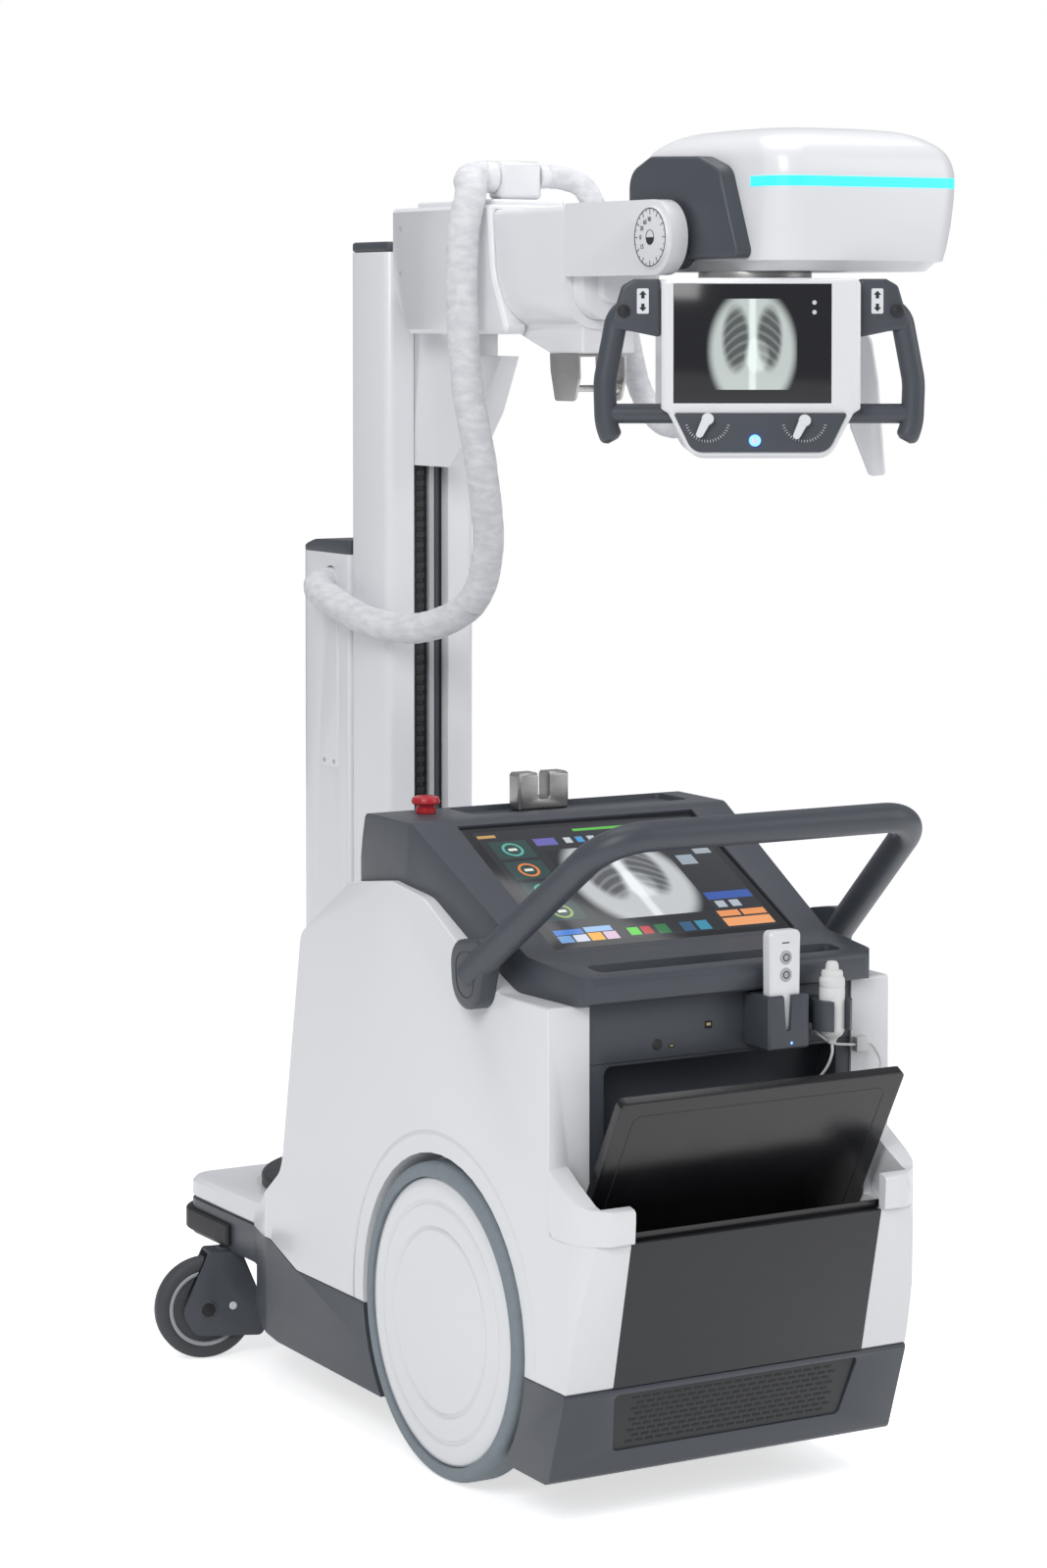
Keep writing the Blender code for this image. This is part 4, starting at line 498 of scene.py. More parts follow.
NODE_BODY = {node: body for body, nodes in frame["record"]["behaviour"]["bodies"].items() for node in nodes}
UPRIGHT = Matrix.Rotation(math.radians(90), 4, "X")  # a face seen from the front: u right, v up
SIDEWAYS = Matrix.Rotation(math.radians(90), 4, "Y")
LEFT_FACE = Matrix(((0, 0, -1, 0), (-1, 0, 0, 0), (0, 1, 0, 0), (0, 0, 0, 1)))  # u to the front, v up
SIDES = (("left", -1), ("right", 1))
POINT = 0.0001  # radius at which a turned piece closes


def keep_mesh(name, mesh, finish, body, nodes=(), sharp=35):
    """Hang a finished mesh on its body, in place of the nodes it stands for."""
    item = bpy.data.objects.new(name, mesh)
    bpy.context.scene.collection.objects.link(item)
    mesh.materials.clear()
    mesh.materials.append(FINISH[finish])
    mesh.shade_smooth()
    mesh.set_sharp_from_angle(angle=math.radians(sharp))
    if nodes:
        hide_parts(*nodes)
    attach(item, body)
    return item


def from_work(name, work, finish, body, nodes=(), sharp=35):
    """The same, from a bmesh, its faces turned outwards."""
    bmesh.ops.remove_doubles(work, verts=work.verts, dist=1e-6)
    bmesh.ops.recalc_face_normals(work, faces=work.faces)
    mesh = bpy.data.meshes.new(name)
    work.to_mesh(mesh)
    work.free()
    return keep_mesh(name, mesh, finish, body, nodes, sharp)


def dressed(node, finish, edge=0.0, sharp=35):
    """A clean copy of a CAD node: welded, its flat faces merged, its edges rounded and smooth."""
    work = bmesh.new()
    work.from_mesh(frame["nodes"][node].data)
    bmesh.ops.remove_doubles(work, verts=work.verts, dist=2e-6)
    bmesh.ops.dissolve_limit(work, angle_limit=math.radians(0.6), verts=work.verts, edges=work.edges)
    if edge > 0:
        corners = [e for e in work.edges if e.is_manifold and e.calc_face_angle(0) > math.radians(38)
                   and e.calc_length() > edge]
        bmesh.ops.bevel(work, geom=corners, offset=edge, segments=3, profile=0.5, affect="EDGES",
                        clamp_overlap=True)
    mesh = bpy.data.meshes.new("dressed_" + node)
    work.to_mesh(mesh)
    work.free()
    return keep_mesh("fine_" + node, mesh, finish, NODE_BODY[node], [node], sharp)


def spot(u, v, out=0.0):
    """A step along a face's own axes."""
    return Matrix.Translation((u, v, out))


def leaning_face(point, lean):
    """An upright face leaned back about X, from a point."""
    return Matrix.Translation(point) @ Matrix.Rotation(lean, 4, "X") @ UPRIGHT


def side_matrix(sign):
    """The machine's left or right side: u to -sign * y, v to z, out to sign * x."""
    return Matrix(((0, 0, sign, 0), (-sign, 0, 0, 0), (0, 1, 0, 0), (0, 0, 0, 1)))


def rounded(corners, steps=8):
    """Corners (u, v, radius) become a closed outline with round corners."""
    outline = []
    for index, (u, v, radius) in enumerate(corners):
        here = Vector((u, v))
        before = Vector(corners[index - 1][:2]) - here
        after = Vector(corners[(index + 1) % len(corners)][:2]) - here
        if radius <= 0:
            outline.append(here)
            continue
        before.normalize()
        after.normalize()
        half = before.angle(after) / 2
        centre = here + (before + after).normalized() * (radius / math.sin(half))
        start = here + before * radius / math.tan(half) - centre
        turn = start.angle_signed(here + after * radius / math.tan(half) - centre)
        for step in range(steps + 1):
            outline.append(centre + Matrix.Rotation(-turn * step / steps, 2) @ start)
    return outline


def oblong(left, low, right, high, radius, steps=8):
    """A rectangle's outline, its corners rounded."""
    corners = ((left, low), (right, low), (right, high), (left, high))
    return rounded([(u, v, radius) for u, v in corners], steps)


def loft(work, rings, closed=False, matrix=None):
    """Skin rings of equal length; the ends are capped unless the rings close on themselves."""
    rows = [[work.verts.new((matrix @ Vector(p)) if matrix else p) for p in ring] for ring in rings]
    pairs = list(zip(rows, rows[1:]))
    if closed:
        pairs.append((rows[-1], rows[0]))
    for low, high in pairs:
        for index in range(len(low)):
            after = (index + 1) % len(low)
            work.faces.new((low[index], low[after], high[after], high[index]))
    if not closed:
        work.faces.new(list(reversed(rows[0])))
        work.faces.new(rows[-1])


def slab(work, outline, low, high, matrix, edge=0.0):
    """An outline in u and v made a slab from low to high, with a rounded rim on its high side."""
    rings = [[(p.x, p.y, low) for p in outline]]
    if edge > 0:
        middle = sum(outline, Vector((0, 0))) / len(outline)
        for step in range(5):
            angle = math.pi / 2 * step / 4
            inset = edge * (1 - math.cos(angle))
            lift = high - edge + edge * math.sin(angle)
            rings.append([])
            for p in outline:
                away = p - middle
                shrink = Vector((max(abs(away.x) - inset, 0) * math.copysign(1, away.x),
                                 max(abs(away.y) - inset, 0) * math.copysign(1, away.y)))
                rings[-1].append((*(middle + shrink), lift))
    else:
        rings.append([(p.x, p.y, high) for p in outline])
    loft(work, rings, matrix=matrix)


def lathe(work, profile, matrix, steps=48, closed=False):
    """A profile of (along, radius) points turned about the matrix's Z axis."""
    turns = [2 * math.pi * step / steps for step in range(steps)]
    rings = [[(radius * math.cos(turn), radius * math.sin(turn), along) for turn in turns]
             for along, radius in profile]
    loft(work, rings, closed, matrix)


def blend(a, b, c, d, t):
    """The Catmull-Rom curve from b at t = 0 to c at t = 1."""
    return 0.5 * (2 * b + (c - a) * t + (2 * a - 5 * b + 4 * c - d) * t ** 2
                  + (3 * b - a - 3 * c + d) * t ** 3)


def smooth_path(points, steps=8):
    """A smooth curve through the points."""
    nodes = [Vector(point) for point in points]
    nodes = [2 * nodes[0] - nodes[1]] + nodes + [2 * nodes[-1] - nodes[-2]]
    path = []
    for four in zip(nodes, nodes[1:], nodes[2:], nodes[3:]):
        path += [blend(*four, step / steps) for step in range(steps)]
    path.append(nodes[-2])
    return path


def bent_route(corners, steps=12):
    """Corners (point, bend radius) become a path with round bends."""
    path = []
    for index, (here, radius) in enumerate(corners):
        if not radius:
            path.append(here)
            continue
        before = (corners[index - 1][0] - here).normalized()
        after = (corners[index + 1][0] - here).normalized()
        half = before.angle(after) / 2
        centre = here + (before + after).normalized() * (radius / math.sin(half))
        start = here + before * radius / math.tan(half) - centre
        end = here + after * radius / math.tan(half) - centre
        path += [centre + radius * start.slerp(end, step / steps) for step in range(steps + 1)]
    return path


def length_of(path):
    """How long a path is."""
    return sum((b - a).length for a, b in zip(path, path[1:]))


def tube(work, path, radius, sides=24, wave=None):
    """A round bar along a path; wave(distance, angle) adds to its radius."""
    rings = []
    side = (path[1] - path[0]).orthogonal().normalized()
    run = 0.0
    for index, point in enumerate(path):
        before = path[max(index - 1, 0)]
        after = path[min(index + 1, len(path) - 1)]
        run += (point - before).length
        forward = (after - before).normalized()
        side = (side - forward * side.dot(forward)).normalized()
        up = forward.cross(side)
        ring = []
        for step in range(sides):
            angle = 2 * math.pi * step / sides
            reach = radius + (wave(run, angle) if wave else 0)
            ring.append(point + reach * (side * math.cos(angle) + up * math.sin(angle)))
        rings.append(ring)
    loft(work, rings)


# Whole pieces in one step


def turned(name, profile, place, finish, body, nodes=(), steps=48, closed=False, sharp=35):
    """A piece turned on a lathe."""
    work = bmesh.new()
    lathe(work, profile, place, steps, closed)
    return from_work(name, work, finish, body, nodes, sharp)


def washer(low, high, outer, inner):
    """The profile of a flat ring."""
    return [(low, outer), (high, outer), (high, inner), (low, inner)]


def plate(name, outline, low, high, place, finish, body, nodes=(), edge=0.0, sharp=35):
    """A piece cut from sheet to an outline."""
    work = bmesh.new()
    slab(work, outline, low, high, place, edge)
    return from_work(name, work, finish, body, nodes, sharp)


def border(name, outer, inner, low, high, place, finish, body):
    """A raised line between two outlines."""
    rings = [[(p.x, p.y, level) for p in line]
             for line, level in ((outer, low), (outer, high), (inner, high), (inner, low))]
    work = bmesh.new()
    loft(work, rings, True, place)
    return from_work(name, work, finish, body)


def bar(name, path, radius, finish, body, nodes=(), sides=24, wave=None, sharp=35):
    """A piece bent from round bar."""
    work = bmesh.new()
    tube(work, path, radius, sides, wave)
    return from_work(name, work, finish, body, nodes, sharp)


# Geometry Nodes for what repeats


class Pattern:
    """A Geometry Nodes tree in the making: rows, columns or rings of one small block."""

    def __init__(self, name, sizes):
        self.tree = bpy.data.node_groups.new(name, "GeometryNodeTree")
        face = self.tree.interface
        face.new_socket("Geometry", in_out="INPUT", socket_type="NodeSocketGeometry")
        face.new_socket("Geometry", in_out="OUTPUT", socket_type="NodeSocketGeometry")
        self.sizes = sizes
        kinds = {int: "NodeSocketInt", float: "NodeSocketFloat"}
        for label, value in sizes.items():
            face.new_socket(label, in_out="INPUT", socket_type=kinds[type(value)])
        self.start = self.tree.nodes.new("NodeGroupInput")
        self.end = self.tree.nodes.new("NodeGroupOutput")

    def size(self, label):
        return self.start.outputs[label]

    def node(self, kind, settings=None, inputs=None, output=0):
        made = self.tree.nodes.new(kind)
        for key, value in (settings or {}).items():
            setattr(made, key, value)
        for key, value in (inputs or {}).items():
            if isinstance(value, bpy.types.NodeSocket):
                self.tree.links.new(value, made.inputs[key])
            else:
                made.inputs[key].default_value = value
        return made.outputs[output]

    def times(self, label, factor):
        """One of the sizes, multiplied."""
        return self.node("ShaderNodeMath", {"operation": "MULTIPLY"}, {0: self.size(label), 1: float(factor)})

    def ring(self):
        """A circle of points, from the sizes Marks and Radius."""
        return self.node("GeometryNodeMeshCircle", inputs={
            "Vertices": self.size("Marks"), "Radius": self.size("Radius")})

    def lay(self, points, block, outwards=False):
        """Put a block of this size on every point and make it real."""
        inputs = {"Points": points, "Instance": self.node("GeometryNodeMeshCube", inputs={"Size": block})}
        if outwards:
            middle = self.node("GeometryNodeInputPosition")
            inputs["Rotation"] = self.node("FunctionNodeAlignRotationToVector", {"axis": "X"},
                                           {"Vector": middle})
        placed = self.node("GeometryNodeInstanceOnPoints", inputs=inputs)
        real = self.node("GeometryNodeRealizeInstances", inputs={"Geometry": placed})
        self.tree.links.new(real, self.end.inputs[0])

    def grow(self, name, matrix, finish, body):
        """Turn the pattern into a plain mesh, set it in its place and hang it on its body."""
        holder = bpy.data.objects.new("pattern_holder", bpy.data.meshes.new("pattern_holder"))
        bpy.context.scene.collection.objects.link(holder)
        modifier = holder.modifiers.new("pattern", "NODES")
        modifier.node_group = self.tree
        for item in self.tree.interface.items_tree:
            if item.item_type == "SOCKET" and item.in_out == "INPUT" and item.name in self.sizes:
                modifier[item.identifier] = self.sizes[item.name]
        bpy.context.view_layer.update()
        keep_mesh(name, as_mesh(holder, matrix), finish, body)


def as_mesh(holder, matrix):
    """What an object's modifiers or text make, as a plain mesh set in its place."""
    graph = bpy.context.evaluated_depsgraph_get()
    mesh = bpy.data.meshes.new_from_object(holder.evaluated_get(graph))
    bpy.data.objects.remove(holder)
    mesh.transform(matrix)
    return mesh


def print_figure(name, figure, tall, place, body):
    """A printed number on a dial."""
    curve = bpy.data.curves.new(name, "FONT")
    curve.body = figure
    curve.size = tall
    curve.align_x = "CENTER"
    curve.align_y = "CENTER"
    curve.extrude = 0.0002
    holder = bpy.data.objects.new(name + "_text", curve)
    bpy.context.scene.collection.objects.link(holder)
    keep_mesh(name, as_mesh(holder, place), "ink", body)


def screws(name, points, place, body, radius):
    """Screw heads at points of a face, given in that face's own plane."""
    profile = [(-0.001, radius), (0.0006, radius), (0.0012, radius * 0.85), (0.0013, radius * 0.5),
               (0.0006, radius * 0.42), (0.0004, 0.00002)]
    for index, (u, v) in enumerate(points):
        turned(f"{name}_{index + 1}", profile, place @ spot(u, v), "grey", body, steps=18)


# The machine's groups of pieces


def dress_floor(colour):
    """A pale floor that glows a little for the camera, so that it melts into the white backdrop."""
    recipe = Recipe("studio_floor")
    plain = recipe.mix(recipe.noise(0.7, 2), shaded(colour, 0.99), shaded(colour, 1.01))
    paths = recipe.tree.nodes.new("ShaderNodeLightPath")
    seen = Wire(recipe, paths.outputs["Is Camera Ray"]).most(Wire(recipe, paths.outputs["Is Glossy Ray"]))
    recipe.set(Base_Color=plain, Roughness=0.9, Emission_Color=(1, 1, 1), Emission_Strength=0.0)
    glow = recipe.node("ShaderNodeEmission", inputs={"Color": (1, 1, 1), "Strength": 0.64 * seen})
    both = recipe.node("ShaderNodeAddShader", inputs={0: Wire(recipe, recipe.shader.outputs[0]), 1: glow})
    recipe.feed(recipe.tree.nodes["Material Output"].inputs["Surface"], both)
    work = bmesh.new()
    corners = [work.verts.new(p) for p in ((-9, -9, 0), (9, -9, 0), (9, 9, 0), (-9, 9, 0))]
    work.faces.new(corners)
    mesh = bpy.data.meshes.new("studio_floor")
    work.to_mesh(mesh)
    work.free()
    mesh.materials.append(recipe.material)
    floor = bpy.data.objects.new("studio_floor", mesh)
    bpy.context.scene.collection.objects.link(floor)


def dress_room():
    """Soft light from all round, and plain white where the camera sees past the floor."""
    world = bpy.data.worlds.new("soft_room")
    world.use_nodes = True
    tree = world.node_tree
    room = tree.nodes["Background"]
    room.inputs["Color"].default_value = (0.93, 0.95, 1.0, 1)
    room.inputs["Strength"].default_value = 0.42
    white = tree.nodes.new("ShaderNodeBackground")
    white.inputs["Color"].default_value = (1, 1, 1, 1)
    white.inputs["Strength"].default_value = 1.0
    paths = tree.nodes.new("ShaderNodeLightPath")
    pick = tree.nodes.new("ShaderNodeMixShader")
    tree.links.new(paths.outputs["Is Camera Ray"], pick.inputs["Fac"])
    tree.links.new(room.outputs["Background"], pick.inputs[1])
    tree.links.new(white.outputs["Background"], pick.inputs[2])
    tree.links.new(pick.outputs["Shader"], tree.nodes["World Output"].inputs["Surface"])
    bpy.context.scene.world = world


def dress_stage():
    """Floor, backdrop, soft lamps and the camera at the photograph's angle."""
    scene = bpy.context.scene
    dress_floor(tuple(scene.xray_colours.floor))
    dress_room()
    lamps = [
        # name, place, aim, size, power
        ("key_lamp", (-3.4, -3.2, 3.6), (0, 0, 0.9), 2.2, 104),
        ("fill_lamp", (3.4, -3.0, 2.6), (0, -0.2, 0.9), 2.8, 46),
        ("top_lamp", (0.2, 0.2, 4.4), (0, 0, 0.9), 3.0, 56),
    ]
    for name, place, aim, size, power in lamps:
        data = bpy.data.lights.new(name, "AREA")
        data.size = size
        data.energy = power
        lamp = bpy.data.objects.new(name, data)
        lamp.location = place
        lamp.rotation_euler = (Vector(aim) - Vector(place)).to_track_quat("-Z", "Y").to_euler()
        scene.collection.objects.link(lamp)

    lens = bpy.data.cameras.new("photo_camera")
    lens.lens = 90
    lens.sensor_width = 36
    lens.sensor_fit = "AUTO"
    lens.clip_end = 60
    lens.shift_y = -0.200
    camera = bpy.data.objects.new("photo_camera", lens)
    camera.location = at(-2.93, -4.824, 1.65)
    camera.rotation_euler = (math.radians(90) - CAMERA_DIP, 0, -CAMERA_TURN)
    scene.collection.objects.link(camera)
    scene.camera = camera
    scene.view_settings.view_transform = "Standard"


def dress_chassis():
    """Dark skirt, deck, bumper and the slotted grille, whose slots are dark blocks of painted shade."""
    sizes = bpy.context.scene.xray_sizes
    dressed("chassis_skirt", "slate", 0.0022)
    dressed("nose_deck", "white", 0.0020)
    dressed("nose_bumper", "rubber_trim", 0.0020)
    dressed("drive_axle", "steel")
    dressed("battery_pack", "dark", 0.002)
    face = leaning_face(GRILLE_MIDDLE, GRILLE_LEAN)
    outline = rounded([(-0.1848, -0.0448, 0.008), (0.1848, -0.0448, 0.008), (0.1998, 0.0448, 0.008),
                       (-0.1998, 0.0448, 0.008)])
    plate("grille_plate", outline, -0.004, 0.0002, face, "dark", "root", ["vent_grille"], 0.0006)
    pitch = float(sizes.slot_pitch)
    columns = int(SLOTTED_WIDTH / pitch)
    for half, rows in enumerate(((sizes.slot_rows + 1) // 2, sizes.slot_rows // 2)):
        # the second set fills the gaps between the first one's rows, half a pitch along
        pattern = Pattern("slot_rows", {"Columns": columns, "Rows": rows, "Pitch": pitch, "Rise": 0.0170})
        grid = pattern.node("GeometryNodeMeshGrid", inputs={
            "Size X": pattern.times("Pitch", columns - 1), "Size Y": pattern.times("Rise", rows - 1),
            "Vertices X": pattern.size("Columns"), "Vertices Y": pattern.size("Rows")})
        # each slot is a near-black block laid on the plate: painted shade standing in for the opening
        pattern.lay(grid, (pitch * 0.72, 0.0034, 0.0008))
        place = face @ spot((half / 2 - 0.25) * pitch, 0, 0.0002)
        pattern.grow(f"grille_slot_shade_{half + 1}", place, "shade_and_dark_trim", "root")


def dress_wheels():
    """Main wheels: grey tread and a white cover with raised rings."""
    low, high = WHEEL_INNER, WHEEL_OUTER
    inner = DISC_RADIUS + 0.0003
    tread = [(low, inner), (low + 0.001, inner + 0.006)]
    tread += [(low + 0.012 - 0.012 * math.cos(a), WHEEL_Z - 0.012 + 0.012 * math.sin(a))
              for a in (0.35, 0.6, 0.85, 1.1, 1.35, 1.57)]
    tread += [(high - 0.014 + 0.014 * math.sin(a), WHEEL_Z - 0.012 + 0.012 * math.cos(a))
              for a in (0.0, 0.22, 0.45, 0.7, 0.95, 1.2)]
    tread += [(high - 0.0006, inner + 0.003), (high - 0.002, inner)]
    face = high - 0.0012
    rings = [
        # below the face, radius
        (0, POINT), (0, 0.030), (0.0002, 0.100), (0.0004, 0.1280), (0.0030, 0.1300), (0.0034, 0.1330),
        (0.0004, 0.1352), (0, 0.1380), (0, 0.1640), (0.0004, 0.1662), (0.0026, 0.1680), (0.0026, 0.1706),
        (0.0004, 0.1724), (0, 0.1750), (0.0008, 0.1900), (0.0030, 0.1985), (0.0062, 0.2025),
        (0.0090, DISC_RADIUS),
    ]
    cover = [(face - below, radius) for below, radius in rings]
    cover += [(low + 0.002, DISC_RADIUS), (low + 0.002, DISC_RADIUS - 0.014), (face - 0.022, 0.1835),
              (face - 0.022, 0.055), (0.2185, 0.050), (0.2185, 0.0205), (0.254, 0.0205), (0.254, POINT)]
    for side, sign in SIDES:
        body = "wheel_" + side
        place = Matrix.Translation(at(0, 0, WHEEL_Z)) @ Matrix.Rotation(math.radians(90) * sign, 4, "Y")
        turned("grey_tread_" + side, tread, place, "tyre", body, ["tyre_" + side], 128, True)
        turned("wheel_cover_" + side, cover, place, "white", body, ["wheel_disc_" + side], 128, True, 50)


def dress_casters():
    """Swivelling casters: slate fork plates with bolts, dark tyres on a flat hub."""
    tyre = [
        # in from the side, radius
        (0, 0.0068), (0, 0.019), (0.005, 0.022), (0.005, 0.055), (0.001, 0.060), (0, 0.0700),
        (0.0020, 0.0755), (0.0050, 0.0792), (0.0090, CASTER_RADIUS),
    ]
    rim = [(0.0045, 0.0535), (0.0015, 0.0545), (0.0004, 0.0585), (0.0016, 0.0612), (0.0060, 0.0612),
           (0.0060, 0.0535)]
    # out from the fork, radius
    axle_cap = [(-0.0010, 0.0112), (0.0006, 0.0112), (0.0010, 0.0104), (0.0010, POINT)]
    bolt = [(-0.0005, 0.0062), (0.0012, 0.0062), (0.0020, 0.0050), (0.0020, 0.0026), (0.0008, 0.0024),
            (0.0008, POINT)]
    aside, astern = math.sin(CASTER_TURN), -math.cos(CASTER_TURN)
    for side, sign in SIDES:
        wheel = "caster_wheel_" + side
        fork = "caster_" + side
        dressed("caster_fork_" + side, "slate", 0.0014)
        middle = at(sign * (0.250 + CASTER_TRAIL * aside), 0.752 + CASTER_TRAIL * astern, CASTER_RADIUS)
        yaw = math.atan2(-sign * aside, astern)
        place = Matrix.Translation(middle) @ Matrix.Rotation(yaw, 4, "Z") @ SIDEWAYS
        half = half_width(wheel, place)
        profile = [(inset - half, radius) for inset, radius in tyre]
        profile += [(half - inset, radius) for inset, radius in reversed(tyre)]
        turned("caster_tread_" + side, profile, place, "caster", wheel, [wheel], 96, True)
        for end, way in (("near", -1), ("far", 1)):
            ending = f"_{side}_{end}"
            ring = [(way * (half - inset), radius) for inset, radius in rim]
            turned("caster_rim" + ending, ring, place, "grey", wheel, steps=96, closed=True)
            stand, cap = fork_faces(side, place, way)
            turned("caster_cap" + ending, [(cap + out * way, radius) for out, radius in axle_cap],
                   place, "shade_and_dark_trim", fork, steps=40)
            turned("caster_bolt" + ending, [(stand + out * way, radius) for out, radius in bolt],
                   place @ spot(-0.004, -CASTER_TRAIL), "legend", fork, steps=32)


def fork_faces(side, place, way):
    """How far out the fork's plate and its axle cap stand, along the wheel's axle."""
    back = place.inverted()
    flat = []
    cap = []
    for vert in frame["nodes"]["caster_fork_" + side].data.vertices:
        x, y, z = back @ vert.co
        if z * way < 0:
            continue
        away = math.hypot(x, y)
        if away < 0.016:
            cap.append(z * way)
        elif away < 0.042:
            flat.append(z * way)
    return way * max(flat), way * max(cap or flat)


def half_width(node, place):
    """Half of a wheel's width along its own axle."""
    back = place.inverted()
    along = [(back @ v.co).z for v in frame["nodes"][node].data.vertices]
    return (max(along) - min(along)) / 2


def dress_body():
    """The white cover and the bin's two horns."""
    dressed("body_shell", "body", 0.0024, sharp=32)
    dressed("bin_horn_left", "white", 0.0030)
    dressed("bin_horn_right", "white", 0.0030)


def dress_bin():
    """Detector bin: dark front, liner, and the glossy detector with the line round its face."""
    dressed("bin_panel", "dark", 0.0016)
    dressed("bin_tray", "black", 0.0008)
    wide, long, thick = 0.460, 0.345, 0.015
    face = leaning_face(DETECTOR_FOOT, DETECTOR_LEAN)
    outline = oblong(-wide / 2, 0, wide / 2, long, 0.008)
    plate("detector_plate", outline, -thick / 2, thick / 2, face, "black", "detector_lift", ["detector"],
          0.0016)
    border("detector_line", oblong(-0.205, 0.022, 0.205, 0.322, 0.014),
           oblong(-0.2035, 0.0235, 0.2035, 0.3205, 0.0125), thick / 2 - 0.0002, thick / 2 + 0.0003,
           face, "dark", "detector_lift")


def dress_console():
    """Sloping console: display under its glass, stop button and the arm's parking catch."""
    dressed("console_housing", "slate", 0.0026, sharp=32)
    dressed("console_screen", "console", 0.0004)
    dressed("arm_catch", "steel", 0.0014)
    low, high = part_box("stop_button")
    middle = Vector(((low[0] + high[0]) / 2, (low[1] + high[1]) / 2, low[2]))
    tall = high[2] - low[2]
    wide = (high[0] - low[0]) / 2
    shape = [
        # height and radius, as shares of the whole
        (0, 0.70), (0.30, 0.70), (0.34, 0.62), (0.46, 0.62), (0.52, 0.92), (0.60, 1), (0.74, 1),
        (0.90, 0.90), (0.98, 0.66), (1, 0.40),
    ]
    profile = [(tall * up, wide * out) for up, out in shape] + [(tall, POINT)]
    turned("stop_knob", profile, Matrix.Translation(middle), "red", "root", ["stop_button"], 64)


def mirrored(corners, sign):
    """Corners (y, z, radius) as an outline on the machine's left or right side."""
    return [Vector((-sign * p.x, p.y)) for p in rounded([(y + SHIFT, z, r) for y, z, r in corners])]


def dress_push_handle():
    """The operator's tube handle with its drop-shaped side plates."""
    corners = [(at(-0.3020, -0.125, 0.740), 0), (at(-0.2520, -0.410, 0.957), 0.070),
               (at(0.2520, -0.410, 0.957), 0.070), (at(0.3020, -0.125, 0.740), 0)]
    bar("handle_tube", bent_route(corners, 16), 0.021, "slate", "root", ["push_handle"], 40)
    drop = [(-0.1850, 0.7980, 0.020), (-0.0780, 0.7830, 0.032), (-0.0850, 0.6850, 0.040),
            (-0.1500, 0.6950, 0.035)]
    inlay = [(-0.1600, 0.7780, 0.020), (-0.0960, 0.7680, 0.022), (-0.1010, 0.7030, 0.028),
             (-0.1440, 0.7100, 0.022)]
    for side, sign in SIDES:
        place = side_matrix(sign)
        outline = mirrored(drop, sign)
        line = mirrored(inlay, sign)
        plate("handle_plate_" + side, outline, 0.2803, 0.310, place, "slate", "root", edge=0.006)
        middle = sum(line, Vector((0, 0))) / len(line)
        inner = [middle + (p - middle) * 0.955 for p in line]
        border("handle_inlay_" + side, line, inner, 0.3096, 0.3105, place, "dark", "root")


def dress_operator_end():
    """Equipment panel with its sockets, the remote control, the hand switch and its cord."""
    dressed("equipment_panel", "slate", 0.0012)
    dressed("remote_holder", "slate", 0.0012)
    dressed("switch_clip", "slate", 0.0014)
    dressed("cord_clip", "cord", 0.0010)
    face = Matrix.Translation(at(0, -0.297, 0)) @ UPRIGHT
    sockets = [
        # name, u, z, wide, tall
        ("network_socket", -0.022, 0.6720, 0.0115, 0.0105),
        ("data_socket_1", 0.0700, 0.6500, 0.0130, 0.0050),
        ("data_socket_2", -0.0820, 0.6480, 0.0100, 0.0040),
    ]
    for name, u, z, wide, tall in sockets:
        rim = oblong(u - wide / 2, z - tall / 2, u + wide / 2, z + tall / 2, 0.001, 3)
        # the socket's opening is a near-black plate: painted shade for its hollow
        plate(name, rim, -0.001, 0.0005, face, "shade_and_dark_trim", "root")
        tongue = oblong(u - wide * 0.28, z - tall * 0.1, u + wide * 0.28, z + tall * 0.25, 0)
        plate(name + "_contacts", tongue, 0.0004, 0.0009, face, "amber", "root")
    turned("blank_plug", [(-0.001, 0.0075), (0.0008, 0.0075), (0.0016, 0.0066), (0.0016, POINT)],
           face @ spot(-0.105, 0.652), "dark", "root", steps=36)
    plate("panel_joint", oblong(-0.213, 0.6325, 0.213, 0.6335, 0), -0.0005, 0.0002, face, "shade_and_dark_trim", "root")

    dressed("remote_control", "white", 0.0016)
    front = Matrix.Translation(at(0.0673, -0.355, 0)) @ UPRIGHT
    radius = 0.0098
    for index, z in enumerate((0.766, 0.742)):
        key = [(-0.001, radius), (0.0004, radius), (0.0014, radius * 0.86), (0.0014, POINT)]
        ring = washer(0.001, 0.0017, radius * 0.55, radius * 0.40)
        turned(f"remote_key_{index + 1}", key, front @ spot(0, z), "grey", "root", steps=40)
        turned(f"remote_ring_{index + 1}", ring, front @ spot(0, z), "ink", "root", steps=24, closed=True)
    mark = oblong(-0.006, 0.7855, 0.006, 0.7872, 0.0006, 3)
    plate("remote_mark", mark, -0.0005, 0.0003, front, "ink", "root")
    lamp = Matrix.Translation(at(0.0725, -0.3620, 0.6480)) @ UPRIGHT
    turned("holder_lamp", [(-0.001, 0.0019), (0.0004, 0.0019), (0.0011, 0.0012), (0.0012, POINT)],
           lamp, "led", "root", steps=24)

    profile = [(0.640, POINT), (0.640, 0.0052), (0.6425, 0.0058), (0.6480, 0.0086), (0.6500, 0.0120),
               (0.6530, 0.0150), (0.6580, 0.0172), (0.6630, 0.0179), (0.7180, 0.0179), (0.7190, 0.0172),
               (0.7200, 0.0179), (0.7285, 0.0179), (0.7320, 0.0168), (0.7335, 0.0152), (0.7400, 0.0150),
               (0.7418, 0.0138), (0.7424, 0.0096), (0.7500, 0.0088), (0.7540, 0.0070), (0.7550, 0.0040),
               (0.7550, POINT)]
    handset = turned("exposure_switch", profile, Matrix.Translation(at(0.1445, -0.355, 0)), "cord", "root",
                     ["hand_switch"], 56)
    dress_cord()


